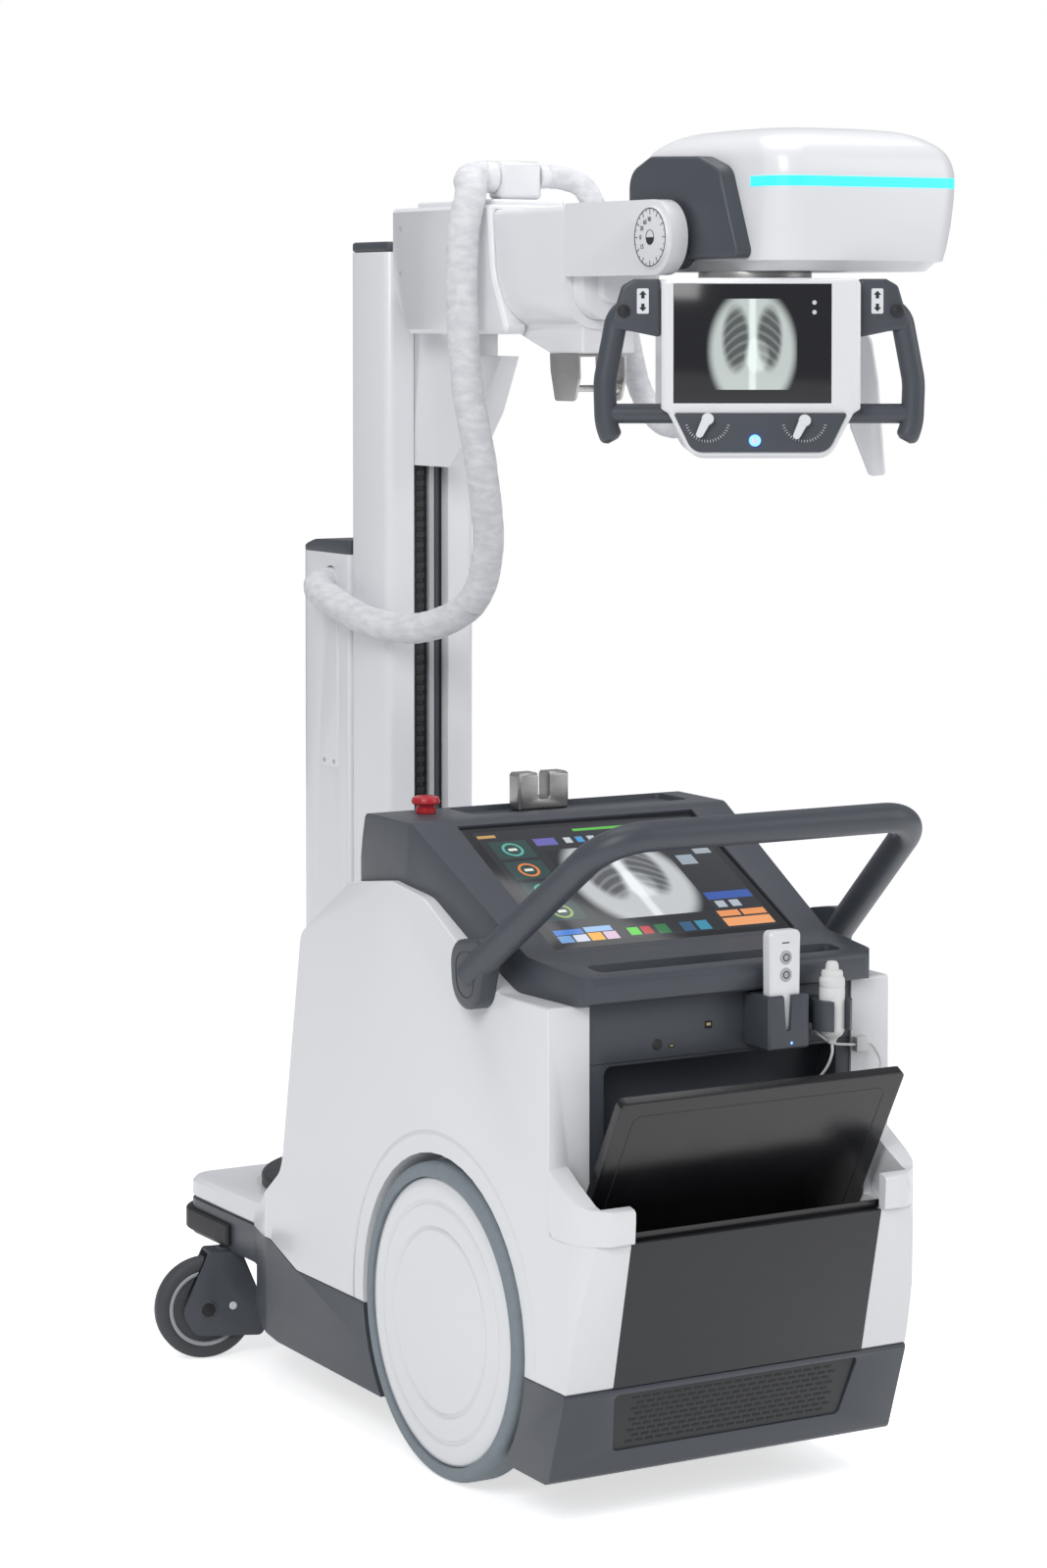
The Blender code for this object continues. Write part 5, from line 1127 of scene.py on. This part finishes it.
def dress_cord():
    """The switch's cord, one tube from the panel through its clip and hank into the handset."""
    level = HANK_LEVEL
    middle = HANK_MIDDLE
    route = [(0.1445, -0.355, 0.6397), (0.1445, -0.355, 0.625), (0.140, -0.347, 0.603),
             (0.128, -0.326, 0.575), (0.112, -0.298, 0.550), (0.092, -0.277, 0.540),
             (0.070, middle + 0.0055, level), (0.0603, middle + 0.0055, level)]
    tail = [(0.0603, middle - 0.0055, level), (0.070, middle - 0.0055, level), (0.095, -0.283, 0.534),
            (0.130, -0.288, 0.528), (0.170, -0.304, 0.532), (0.205, -0.318, 0.545), (0.238, -0.322, 0.568),
            (0.254, -0.318, 0.595), (0.2445, -0.3087, 0.6215), (0.227, -0.3085, 0.624),
            (0.2100, -0.3087, 0.6245), (0.172, -0.315, 0.631), (0.153, -0.3130, 0.6430),
            (0.150, -0.305, 0.647), (0.150, -0.2973, 0.647)]
    path = [at(*p) for p in smooth_path(list(reversed(tail)), 6)]
    path += coil_hank(level, middle)
    path += [at(*p) for p in smooth_path(list(reversed(route)), 6)]
    path += [at(0.1445, -0.355, 0.6397 + 0.006 * step) for step in range(1, 11)]
    cord = bar("switch_cord", path, 0.002, "cord", "root", ["hand_switch_cord", "cord_hank", "cord_tail"],
               10, sharp=60)
    outer = [[(p.x, p.y, along) for p in oblong(-0.0249, -0.0114, 0.0249, 0.0114, 0.005)]
             for along in (-0.004, 0.004)]
    inner = [[(x * 0.97, y * 0.94, z) for x, y, z in ring] for ring in reversed(outer)]
    work = bmesh.new()
    loft(work, outer + inner, True, Matrix.Translation(at(-0.020, middle, level)) @ SIDEWAYS)
    tie = from_work("cord_tie", work, "rubber_trim", "root")
    round(length_of(path), 3)


def coil_hank(level, middle):
    """The cord's slack: oblong turns beside and within each other, its ends led out at the right."""
    turns = 5
    steps = 44
    half = 0.055
    line = smooth_path([
        (0.0603, -0.0055, 0.0), (0.045, -0.0056, 0.0), (0.010, -0.0060, 0.0), (-0.030, -0.0070, 0.0005),
        (-0.052, -0.0080, 0.003), (-0.060, -0.0085, 0.0100), (-0.054, -0.0085, 0.0175)], 5)
    loops = []
    for step in range(turns * steps + 1):
        turn = step / steps
        sway = max(-1, min(1, 4 * math.cos(math.pi * turn)))
        radius = 0.0204 + 0.0024 * sway
        arc = math.pi * radius
        ahead = (turn % 1) * (4 * half + 2 * arc)
        if ahead < 2 * half:
            x, z = -half + ahead, radius
        elif ahead < 2 * half + arc:
            angle = (ahead - 2 * half) / radius
            x, z = half + radius * math.sin(angle), radius * math.cos(angle)
        elif ahead < 4 * half + arc:
            x, z = half - (ahead - 2 * half - arc), -radius
        else:
            angle = (ahead - 4 * half - arc) / radius
            x, z = -half - radius * math.sin(angle), -radius * math.cos(angle)
        loops.append((x - 0.020, -0.0085 + 0.017 * turn / turns, z))
    out = smooth_path([(-0.060, 0.0085, 0.0190), (-0.040, 0.0084, 0.0180), (-0.015, 0.0078, 0.0125),
                       (0.015, 0.0066, 0.0045), (0.040, 0.0057, 0.0004), (0.0603, 0.0055, 0.0)], 5)
    return [at(x, middle + y, level + z) for x, y, z in line[1:] + loops[4:-1] + out[:-1]]


def dress_column():
    """Turntable, the tall rear housing with its service cover, and its slate cap."""
    dressed("column_ring", "dark", 0.0008)
    dressed("rear_housing", "white", 0.0026)
    dressed("rear_housing_cap", "slate", 0.0020)
    face = Matrix.Translation(at(-0.0800, 0, 0)) @ LEFT_FACE
    outline = rounded([(-0.700, 0.930, 0.004), (-0.700, 1.180, 0.004), (-0.728, 1.180, 0.010),
                       (-0.757, 1.020, 0.020), (-0.757, 0.930, 0.006)])
    plate("service_cover", outline, -0.001, 0.0022, face, "white", "column", edge=0.0012)
    screws("service_screw", [(-0.712, 0.940), (-0.745, 0.940)], face @ spot(0, 0, 0.0020), "column",
           0.0036)


def dress_mast():
    """The mast with its cap, and the dark rack and rail in its slot."""
    dressed("mast", "white", 0.0024)
    dressed("mast_cap", "slate", 0.0014)
    low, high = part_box("rack_insert")
    face = low[1]
    outline = oblong(low[0], low[2], high[0], high[2], 0)
    plate("rack_back", outline, -high[1], -(face + 0.012), UPRIGHT, "dark", "mast_slide", ["rack_insert"])
    rails = [
        # name, left, right, back from the face, finish
        ("guide_rail", 0.0030, 0.0120, 0.0035, "grey"),
        ("guide_rail_edge", 0.0145, 0.0215, 0.0060, "slate"),
        ("rack_spine", -0.0265, -0.0220, 0.0015, "dark"),
        ("rack_bed", -0.0220, -0.0075, 0.0075, "dark"),
    ]
    for name, left, right, back, finish in rails:
        outline = oblong(left, low[2] + 0.004, right, high[2] - 0.004, 0.001, 3)
        plate(name, outline, -(face + 0.0125), -(face + back), UPRIGHT, finish, "mast_slide", edge=0.0006)
    pitch = float(bpy.context.scene.xray_sizes.rack_pitch)
    pattern = Pattern("rack_teeth", {"Teeth": int((high[2] - low[2] - 0.03) / pitch), "Pitch": pitch})
    step = pattern.node("ShaderNodeCombineXYZ", inputs={"Z": pattern.size("Pitch")})
    line = pattern.node("GeometryNodeMeshLine", inputs={"Count": pattern.size("Teeth"), "Offset": step})
    pattern.lay(line, (0.0140, 0.0105, pitch * 0.52))
    place = Matrix.Translation((-0.0148, face + 0.0060, low[2] + 0.016))
    pattern.grow("rack_comb", place, "dark", "mast_slide")


def dress_carriage():
    """The lift carriage and the bracket that holds the hoses."""
    dressed("carriage_housing", "white", 0.0030, sharp=32)
    dressed("hose_bracket", "white", 0.0040)
    screws("carriage_screw", [(-0.480, 1.782), (-0.480, 1.715), (-0.300, 1.660)],
           Matrix.Translation(at(-0.0850, 0, 0)) @ LEFT_FACE, "carriage_lift", 0.0034)


def dress_arm():
    """Two arm stages, the parking lock and the bar with its tilt dial."""
    dressed("arm_outer", "white", 0.0030, sharp=32)
    dressed("arm_inner", "white", 0.0026, sharp=32)
    dressed("lock_bracket", "steel", 0.0010)
    dressed("arm_bar", "white", 0.0022, sharp=32)
    face = Matrix.Translation(DIAL) @ LEFT_FACE
    turned("dial_rim", washer(-0.0005, 0.0004, 0.0405, 0.0392), face, "ink", "arm_reach", (), 96, True)
    rows = [
        # name, marks, radius, long, wide
        ("dial_marks", int(bpy.context.scene.xray_sizes.dial_ticks), 0.0375, 0.0034, 0.0005),
        ("dial_hours", 12, 0.0355, 0.0074, 0.0009),
    ]
    for name, marks, radius, long, wide in rows:
        pattern = Pattern(name, {"Marks": marks, "Radius": radius})
        pattern.lay(pattern.ring(), (long, wide, 0.0010), outwards=True)
        pattern.grow(name, face, "ink", "arm_reach")
    for figure, degrees in (("15", 212), ("0", 180), ("30", 150), ("60", 122), ("90", 93)):
        angle = math.radians(degrees)
        place = face @ spot(0.0245 * math.cos(angle), 0.0245 * math.sin(angle), 0.0002)
        print_figure("dial_" + figure, figure, 0.0092, place, "arm_reach")
    sweep = [math.pi + math.pi * step / 24 for step in range(25)]
    lower_half = [Vector((0.0095 * math.cos(turn), 0.0095 * math.sin(turn))) for turn in sweep]
    plate("dial_centre", lower_half, -0.0003, 0.0005, face, "ink", "arm_reach")
    turned("dial_ring", washer(-0.0003, 0.0005, 0.0105, 0.0097), face, "ink", "arm_reach", closed=True)


def dress_head():
    """Tube head: white shell, slate pivot pod, status light and swivel plate."""
    dressed("swivel_plate", "steel", 0.0006)
    left, right, front, rear = -0.020, 0.288, -0.466, -0.100
    flank = [
        # z, left, right, front, rear, corner radius
        (1.710, -0.006, 0.262, -0.438, -0.124, 0.050),
        (1.722, -0.012, 0.270, -0.450, -0.112, 0.050),
        (1.724, left, 0.276, -0.456, rear, 0.045),
        (1.740, left, 0.279, -0.460, rear, 0.045),
        (1.770, left, 0.284, -0.463, rear, 0.045),
    ]
    dome = [
        (1.800, left, 0.2870, -0.4650, rear, 0.045),
        (1.818, left, right, front, rear, 0.045),
        (1.844, left, right, front, rear, 0.045),
        (1.872, left + 0.002, 0.2800, -0.4580, rear - 0.002, 0.047),
        (1.890, left + 0.016, 0.2620, -0.4380, rear - 0.024, 0.052),
        (1.901, 0.018, 0.2400, -0.4120, -0.148, 0.058),
        (HEAD_TOP, 0.050, 0.2020, -0.3700, -0.185, 0.050),
    ]
    sections = list(flank)
    for four in zip([dome[0]] + dome, dome, dome[1:], dome[2:] + [dome[-1]]):
        sections += [tuple(blend(*values, step / 6) for values in zip(*four)) for step in range(6)]
    sections.append(dome[-1])
    rings = []
    for z, x0, x1, y0, y1, radius in sections:
        plan = oblong(max(x0, left), max(y0, front) + SHIFT, min(x1, right), min(y1, rear) + SHIFT,
                      radius, 14)
        rings.append([(p.x, p.y, min(z, HEAD_TOP)) for p in plan])
    work = bmesh.new()
    loft(work, rings)
    from_work("head_shell", work, "white", "head_tilt", ["head_housing"], 38)

    proud, deep = 0.0005, 0.003
    end = -0.3953 + SHIFT
    low, high = 1.8231, 1.8369
    lines = []
    for out in (proud, -deep):
        tip = front - out + SHIFT
        bend = 0.045 + out
        lines.append(rounded([(left - out, end, 0), (left - out, tip, bend), (right + out, tip, bend),
                              (right + out, end, 0)], 14))
    work = bmesh.new()
    loft(work, [[(near.x, near.y, low), (near.x, near.y, high), (far.x, far.y, high), (far.x, far.y, low)]
                for near, far in zip(*lines)])
    from_work("status_strip", work, "glow", "head_tilt", ["light_strip"])

    pod = [(-0.120, 1.727, 0.008), (-0.402, 1.727, 0.010), (-0.352, 1.850, 0.030),
           (-0.300, 1.867, 0.040), (-0.175, 1.871, 0.030), (-0.120, 1.850, 0.030)]
    face = side_matrix(-1)
    work = bmesh.new()
    slab(work, rounded([(y + SHIFT, z, r) for y, z, r in pod], 14), 0.0203, 0.045, face, 0.006)
    lathe(work, [(0.030, 0.044), (0.0537, 0.044), (0.0537, POINT)], face @ spot(DIAL.y, DIAL.z), 72)
    from_work("pivot_pod", work, "slate", "head_tilt", ["head_pod"])


def dress_grips(face):
    """The two looped grips, their mounts and the bar through the housing."""
    body = "collimator_turn"
    depth = -0.045
    radius = 0.0155
    tip = 0.0100
    straight = [face @ Vector((u, 1.517, depth)) for u in (-0.207, -0.1, 0.0, 0.1, 0.207)]
    bar("grip_bar", straight, 0.0135, "slate", body, ["collimator_grips"], 36)
    line = [(0.160, 1.668, 0), (0.192, 1.650, 0.030), (0.209, 1.560, 0.100), (0.207, 1.497, 0.080),
            (0.198, 1.481, 0)]
    wedge = [(0.1340, 1.6200, 0.004), (0.1720, 1.6280, 0.012), (0.2030, 1.6320, 0.010),
             (0.1860, 1.6900, 0.012), (0.1700, 1.6990, 0.004), (0.1340, 1.6990, 0.004)]
    for side, sign in SIDES:
        path = bent_route([(face @ Vector((sign * u, z, depth)), r) for u, z, r in line])
        last = path.pop()
        start = path[-1]
        path += [start.lerp(last, step / 24) for step in range(1, 25)]
        long = length_of(path)

        def round_end(run, angle):
            past = min(max(0.0, run - long + tip), tip)
            return radius * (math.sqrt(max(1 - (past / tip) ** 2, 0.0009)) - 1) * 0.92

        bar("grip_" + side, path, radius, "slate", body, (), 32, round_end, 50)
        outline = rounded([(sign * u, z, r) for u, z, r in wedge], 10)
        work = bmesh.new()
        slab(work, outline, depth, depth + 0.017, face, 0.004)
        slab(work, outline, -depth, -depth + 0.017, face @ Matrix.Diagonal((1, 1, -1, 1)), 0.004)
        from_work("grip_mount_" + side, work, "slate", body, sharp=50)


def dress_scales(face):
    """The slate panel under the display with its two knobs, levers and scales, and the ring key."""
    body = "collimator_turn"
    panel = rounded([(-0.0920, 1.4660, 0.022), (0.0900, 1.4660, 0.022), (0.1160, 1.5190, 0.003),
                     (-0.1180, 1.5190, 0.003)])
    plate("scale_panel", panel, 0.0003, 0.0033, face, "slate", body, ["control_panel"], 0.0008)
    lever = [(0.006, -0.001, 0.004), (-0.009, -0.026, 0.004), (-0.017, -0.023, 0.004), (-0.006, 0.005, 0.004)]
    knob = [(0.0030, 0.0080), (0.0128, 0.0080), (0.0140, 0.0068), (0.0143, POINT)]
    for index, (side, u, z) in enumerate((("left", -0.0720, 1.5110), ("right", 0.0580, 1.5090))):
        turned("scale_knob_" + side, knob, face @ spot(u, z), "legend", body, steps=40)
        plate("scale_lever_" + side, rounded([(u + x, z + y, r) for x, y, r in lever]), 0.0065, 0.0135,
              face, "legend", body, edge=0.0012)
        pattern = Pattern("scale_marks", {"Marks": 48, "Radius": 0.0290})
        split = pattern.tree.nodes.new("ShaderNodeSeparateXYZ")
        pattern.tree.links.new(pattern.node("GeometryNodeInputPosition"), split.inputs[0])
        upper = pattern.node("FunctionNodeCompare", {"data_type": "FLOAT", "operation": "GREATER_THAN"},
                             {0: split.outputs["Y"], 1: -0.004})
        arc = pattern.node("GeometryNodeDeleteGeometry", {"domain": "POINT"},
                           {"Geometry": pattern.ring(), "Selection": upper})
        pattern.lay(arc, (0.0036, 0.0006, 0.0006), outwards=True)
        pattern.grow(f"scale_{index + 1}", face @ spot(u, 1.5100, 0.0034), "legend", body)
    turned("ring_key_centre", [(0.0030, 0.0049), (0.0066, 0.0049), (0.0070, 0.0042), (0.0070, POINT)],
           face @ spot(-0.0085, 1.4820), "legend", body, steps=32)
    turned("ring_key", washer(0, 0.0052, 0.0078, 0.0050), face @ spot(-0.0085, 1.4820, 0.0026), "led", body,
           steps=40, closed=True)


def dress_collimator():
    """Beam-limiting box: display, scales, knobs, ring key, grips and spacer."""
    body = "collimator_turn"
    dressed("collimator_housing", "white", 0.0026)
    dressed("collimator_screen", "display", 0.0003)
    dressed("spacer_plate", "white", 0.0020)
    front = Matrix.Translation((0, -COLL_FRONT, 0)) @ UPRIGHT
    face = Matrix.Translation(TURN) @ Matrix.Rotation(SCREEN_YAW, 4, "Z") @ front
    dress_grips(face)
    dress_scales(face)
    head = [(-0.0022, -0.005), (0.0022, -0.005), (0.0022, 0), (0.0050, 0), (0, 0.0055), (-0.0050, 0),
            (-0.0022, 0)]
    key = [(-0.030, 0.0085), (-0.0245, 0.0085), (-0.0225, 0.0060), (-0.0220, POINT)]
    for side, sign in SIDES:
        u = sign * 0.158
        plate("arrow_plate_" + side, oblong(u - 0.008, 1.6520, u + 0.008, 1.6860, 0.002, 4), -0.0290, -0.0276,
              face, "legend", body)
        for way, word, z in ((1, "up", 1.6775), (-1, "down", 1.6605)):
            arrow = [Vector((u + x, z + way * y)) for x, y in head]
            plate(f"arrow_{side}_{word}", arrow[::way], -0.0277, -0.0272, face, "ink", body)
        turned("grip_key_" + side, key, face @ spot(sign * 0.184, 1.6560), "rubber_trim", body, steps=32)


def dress_hoses():
    """White sleeves round the cables, creased all along them."""
    pleat = bpy.context.scene.xray_sizes.pleat
    knot = 12  # points between two knots of a route
    main = smooth_path([
        (-0.0608, 0.727, 1.225), (-0.0740, 0.727, 1.225), (-0.0880, 0.727, 1.225), (-0.113, 0.706, 1.220),
        (-0.120, 0.650, 1.205), (-0.108, 0.540, 1.176), (-0.070, 0.440, 1.172), (-0.040, 0.340, 1.215),
        (-0.042, 0.285, 1.300), (-0.080, 0.236, 1.420), (-0.115, 0.216, 1.540), (-0.126, 0.212, 1.650),
        (-0.124, 0.214, 1.765), (-0.105, 0.224, 1.830), (-0.088, 0.258, 1.850), (-0.060, 0.276, 1.856),
        (-0.049, 0.276, 1.856), (-0.0377, 0.276, 1.856)], knot)
    arm = smooth_path([
        (0.0377, 0.276, 1.858), (0.0480, 0.276, 1.858), (0.0580, 0.276, 1.858), (0.086, 0.266, 1.854),
        (0.108, 0.248, 1.836), (0.118, 0.215, 1.775), (0.114, 0.170, 1.700), (0.108, 0.130, 1.620),
        (0.112, 0.100, 1.540), (0.125, 0.060, 1.492), (0.142, 0.010, 1.496), (0.155, -0.025, 1.560),
        (0.160, -0.040, 1.650), (0.160, -0.050, 1.745), (0.160, -0.074, 1.784), (0.160, -0.088, 1.785),
        (0.160, -0.0995, 1.785)], knot)
    pieces = [
        # piece, body, node, route, first and last knot, radius
        ("sleeve_lower", "column", "hose_lower", main, 0, 7, 0.0238),
        ("sleeve_upper", "carriage_lift", "hose_upper", main, 7, 17, 0.0238),
        ("sleeve_top", "carriage_lift", "hose_top", arm, 0, 6.3334, 0.0178),
        ("sleeve_loop", "arm_slide", "hose_loop", arm, 6.3334, 11, 0.0178),
        ("sleeve_head", "arm_reach", "hose_head", arm, 11, 16, 0.0178),
    ]

    def crease(run, angle):
        ripple = math.sin(run * 210 + 2.2 * math.sin(angle + run * 9)) + 0.6 * math.sin(run * 97 + 3 * angle)
        return -abs(pleat * 0.5 * ripple)

    for name, body, node, route, first, last, radius in pieces:
        path = [at(*p) for p in route[round(first * knot):round(last * knot) + 1]]
        bar(name, path, radius, "fabric", body, [node], 28, crease, 80)
    cuffs = [
        # piece, body, route, radius
        ("cuff_port", "column", main, 0.0244),
        ("cuff_bracket_left", "carriage_lift", main[::-1], 0.0242),
        ("cuff_bracket_right", "carriage_lift", arm, 0.0182),
    ]
    for name, body, route, radius in cuffs:
        bar(name, [at(*p) for p in route[2:16]], radius, "white", body, sides=32, sharp=50)


# Operators, panel and registration


class XRAY_OT_finishes(bpy.types.Operator):
    """Mix every finish from the colours."""

    bl_idname = "xray.finishes"
    bl_label = "Finishes"

    def execute(self, context):
        mix_finishes()
        return {"FINISHED"}


class XRAY_OT_stage(bpy.types.Operator):
    """Floor, lamps and camera."""

    bl_idname = "xray.stage"
    bl_label = "Stage"

    def execute(self, context):
        dress_stage()
        return {"FINISHED"}


class XRAY_OT_operator_end(bpy.types.Operator):
    """Panel, remote control, switch and cord."""

    bl_idname = "xray.operator_end"
    bl_label = "Operator's end"

    def execute(self, context):
        dress_operator_end()
        return {"FINISHED"}


class XRAY_OT_chassis(bpy.types.Operator):
    """Skirt, deck, bumper and grille."""

    bl_idname = "xray.chassis"
    bl_label = "Chassis"

    def execute(self, context):
        dress_chassis()
        return {"FINISHED"}


class XRAY_OT_wheels(bpy.types.Operator):
    """Main wheels and their covers."""

    bl_idname = "xray.wheels"
    bl_label = "Wheels"

    def execute(self, context):
        dress_wheels()
        return {"FINISHED"}


class XRAY_OT_casters(bpy.types.Operator):
    """Swivelling casters."""

    bl_idname = "xray.casters"
    bl_label = "Casters"

    def execute(self, context):
        dress_casters()
        return {"FINISHED"}


class XRAY_OT_body(bpy.types.Operator):
    """White body cover."""

    bl_idname = "xray.body"
    bl_label = "Body"

    def execute(self, context):
        dress_body()
        return {"FINISHED"}


class XRAY_OT_bin(bpy.types.Operator):
    """Bin, liner and detector."""

    bl_idname = "xray.bin"
    bl_label = "Detector bin"

    def execute(self, context):
        dress_bin()
        return {"FINISHED"}


class XRAY_OT_console(bpy.types.Operator):
    """Console, display and stop button."""

    bl_idname = "xray.console"
    bl_label = "Console"

    def execute(self, context):
        dress_console()
        return {"FINISHED"}


class XRAY_OT_handle(bpy.types.Operator):
    """Operator's tube handle."""

    bl_idname = "xray.handle"
    bl_label = "Push handle"

    def execute(self, context):
        dress_push_handle()
        return {"FINISHED"}


class XRAY_OT_column(bpy.types.Operator):
    """Turntable and rear housing."""

    bl_idname = "xray.column"
    bl_label = "Column"

    def execute(self, context):
        dress_column()
        return {"FINISHED"}


class XRAY_OT_mast(bpy.types.Operator):
    """Mast, cap and rack."""

    bl_idname = "xray.mast"
    bl_label = "Mast"

    def execute(self, context):
        dress_mast()
        return {"FINISHED"}


class XRAY_OT_carriage(bpy.types.Operator):
    """Lift carriage and hose bracket."""

    bl_idname = "xray.carriage"
    bl_label = "Carriage"

    def execute(self, context):
        dress_carriage()
        return {"FINISHED"}


class XRAY_OT_arm(bpy.types.Operator):
    """Arm stages, lock and dial."""

    bl_idname = "xray.arm"
    bl_label = "Arm"

    def execute(self, context):
        dress_arm()
        return {"FINISHED"}


class XRAY_OT_head(bpy.types.Operator):
    """Tube head and status light."""

    bl_idname = "xray.head"
    bl_label = "Head"

    def execute(self, context):
        dress_head()
        return {"FINISHED"}


class XRAY_OT_collimator(bpy.types.Operator):
    """Collimator, knobs and grips."""

    bl_idname = "xray.collimator"
    bl_label = "Collimator"

    def execute(self, context):
        dress_collimator()
        return {"FINISHED"}


class XRAY_OT_hoses(bpy.types.Operator):
    """White hose sleeves."""

    bl_idname = "xray.hoses"
    bl_label = "Hoses"

    def execute(self, context):
        dress_hoses()
        return {"FINISHED"}


OPERATORS = [
    XRAY_OT_finishes,
    XRAY_OT_stage,
    XRAY_OT_operator_end,
    XRAY_OT_chassis,
    XRAY_OT_wheels,
    XRAY_OT_casters,
    XRAY_OT_body,
    XRAY_OT_bin,
    XRAY_OT_console,
    XRAY_OT_handle,
    XRAY_OT_column,
    XRAY_OT_mast,
    XRAY_OT_carriage,
    XRAY_OT_arm,
    XRAY_OT_head,
    XRAY_OT_collimator,
    XRAY_OT_hoses,
]


class XRAY_PT_machine(bpy.types.Panel):
    """Lists the machine's groups of pieces and their settings."""

    bl_label = "X-ray Machine"
    bl_space_type = "VIEW_3D"
    bl_region_type = "UI"
    bl_category = "X-ray Machine"

    def draw(self, context):
        for settings in (context.scene.xray_colours, context.scene.xray_sizes):
            for name in settings.__annotations__:
                self.layout.prop(settings, name)
        for item in OPERATORS:
            self.layout.operator(item.bl_idname)


CLASSES = [XrayColours, XraySizes, *OPERATORS, XRAY_PT_machine]


def register():
    for item in CLASSES:
        bpy.utils.register_class(item)
    bpy.types.Scene.xray_colours = PointerProperty(type=XrayColours)
    bpy.types.Scene.xray_sizes = PointerProperty(type=XraySizes)


def unregister():
    del bpy.types.Scene.xray_sizes
    del bpy.types.Scene.xray_colours
    for item in reversed(CLASSES):
        bpy.utils.unregister_class(item)


def main():
    register()
    bpy.ops.xray.finishes()
    bpy.ops.xray.stage()
    bpy.ops.xray.operator_end()
    bpy.ops.xray.chassis()
    bpy.ops.xray.wheels()
    bpy.ops.xray.casters()
    bpy.ops.xray.body()
    bpy.ops.xray.bin()
    bpy.ops.xray.console()
    bpy.ops.xray.handle()
    bpy.ops.xray.column()
    bpy.ops.xray.mast()
    bpy.ops.xray.carriage()
    bpy.ops.xray.arm()
    bpy.ops.xray.head()
    bpy.ops.xray.collimator()
    bpy.ops.xray.hoses()
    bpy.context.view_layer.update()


if __name__ == "__main__":
    main()
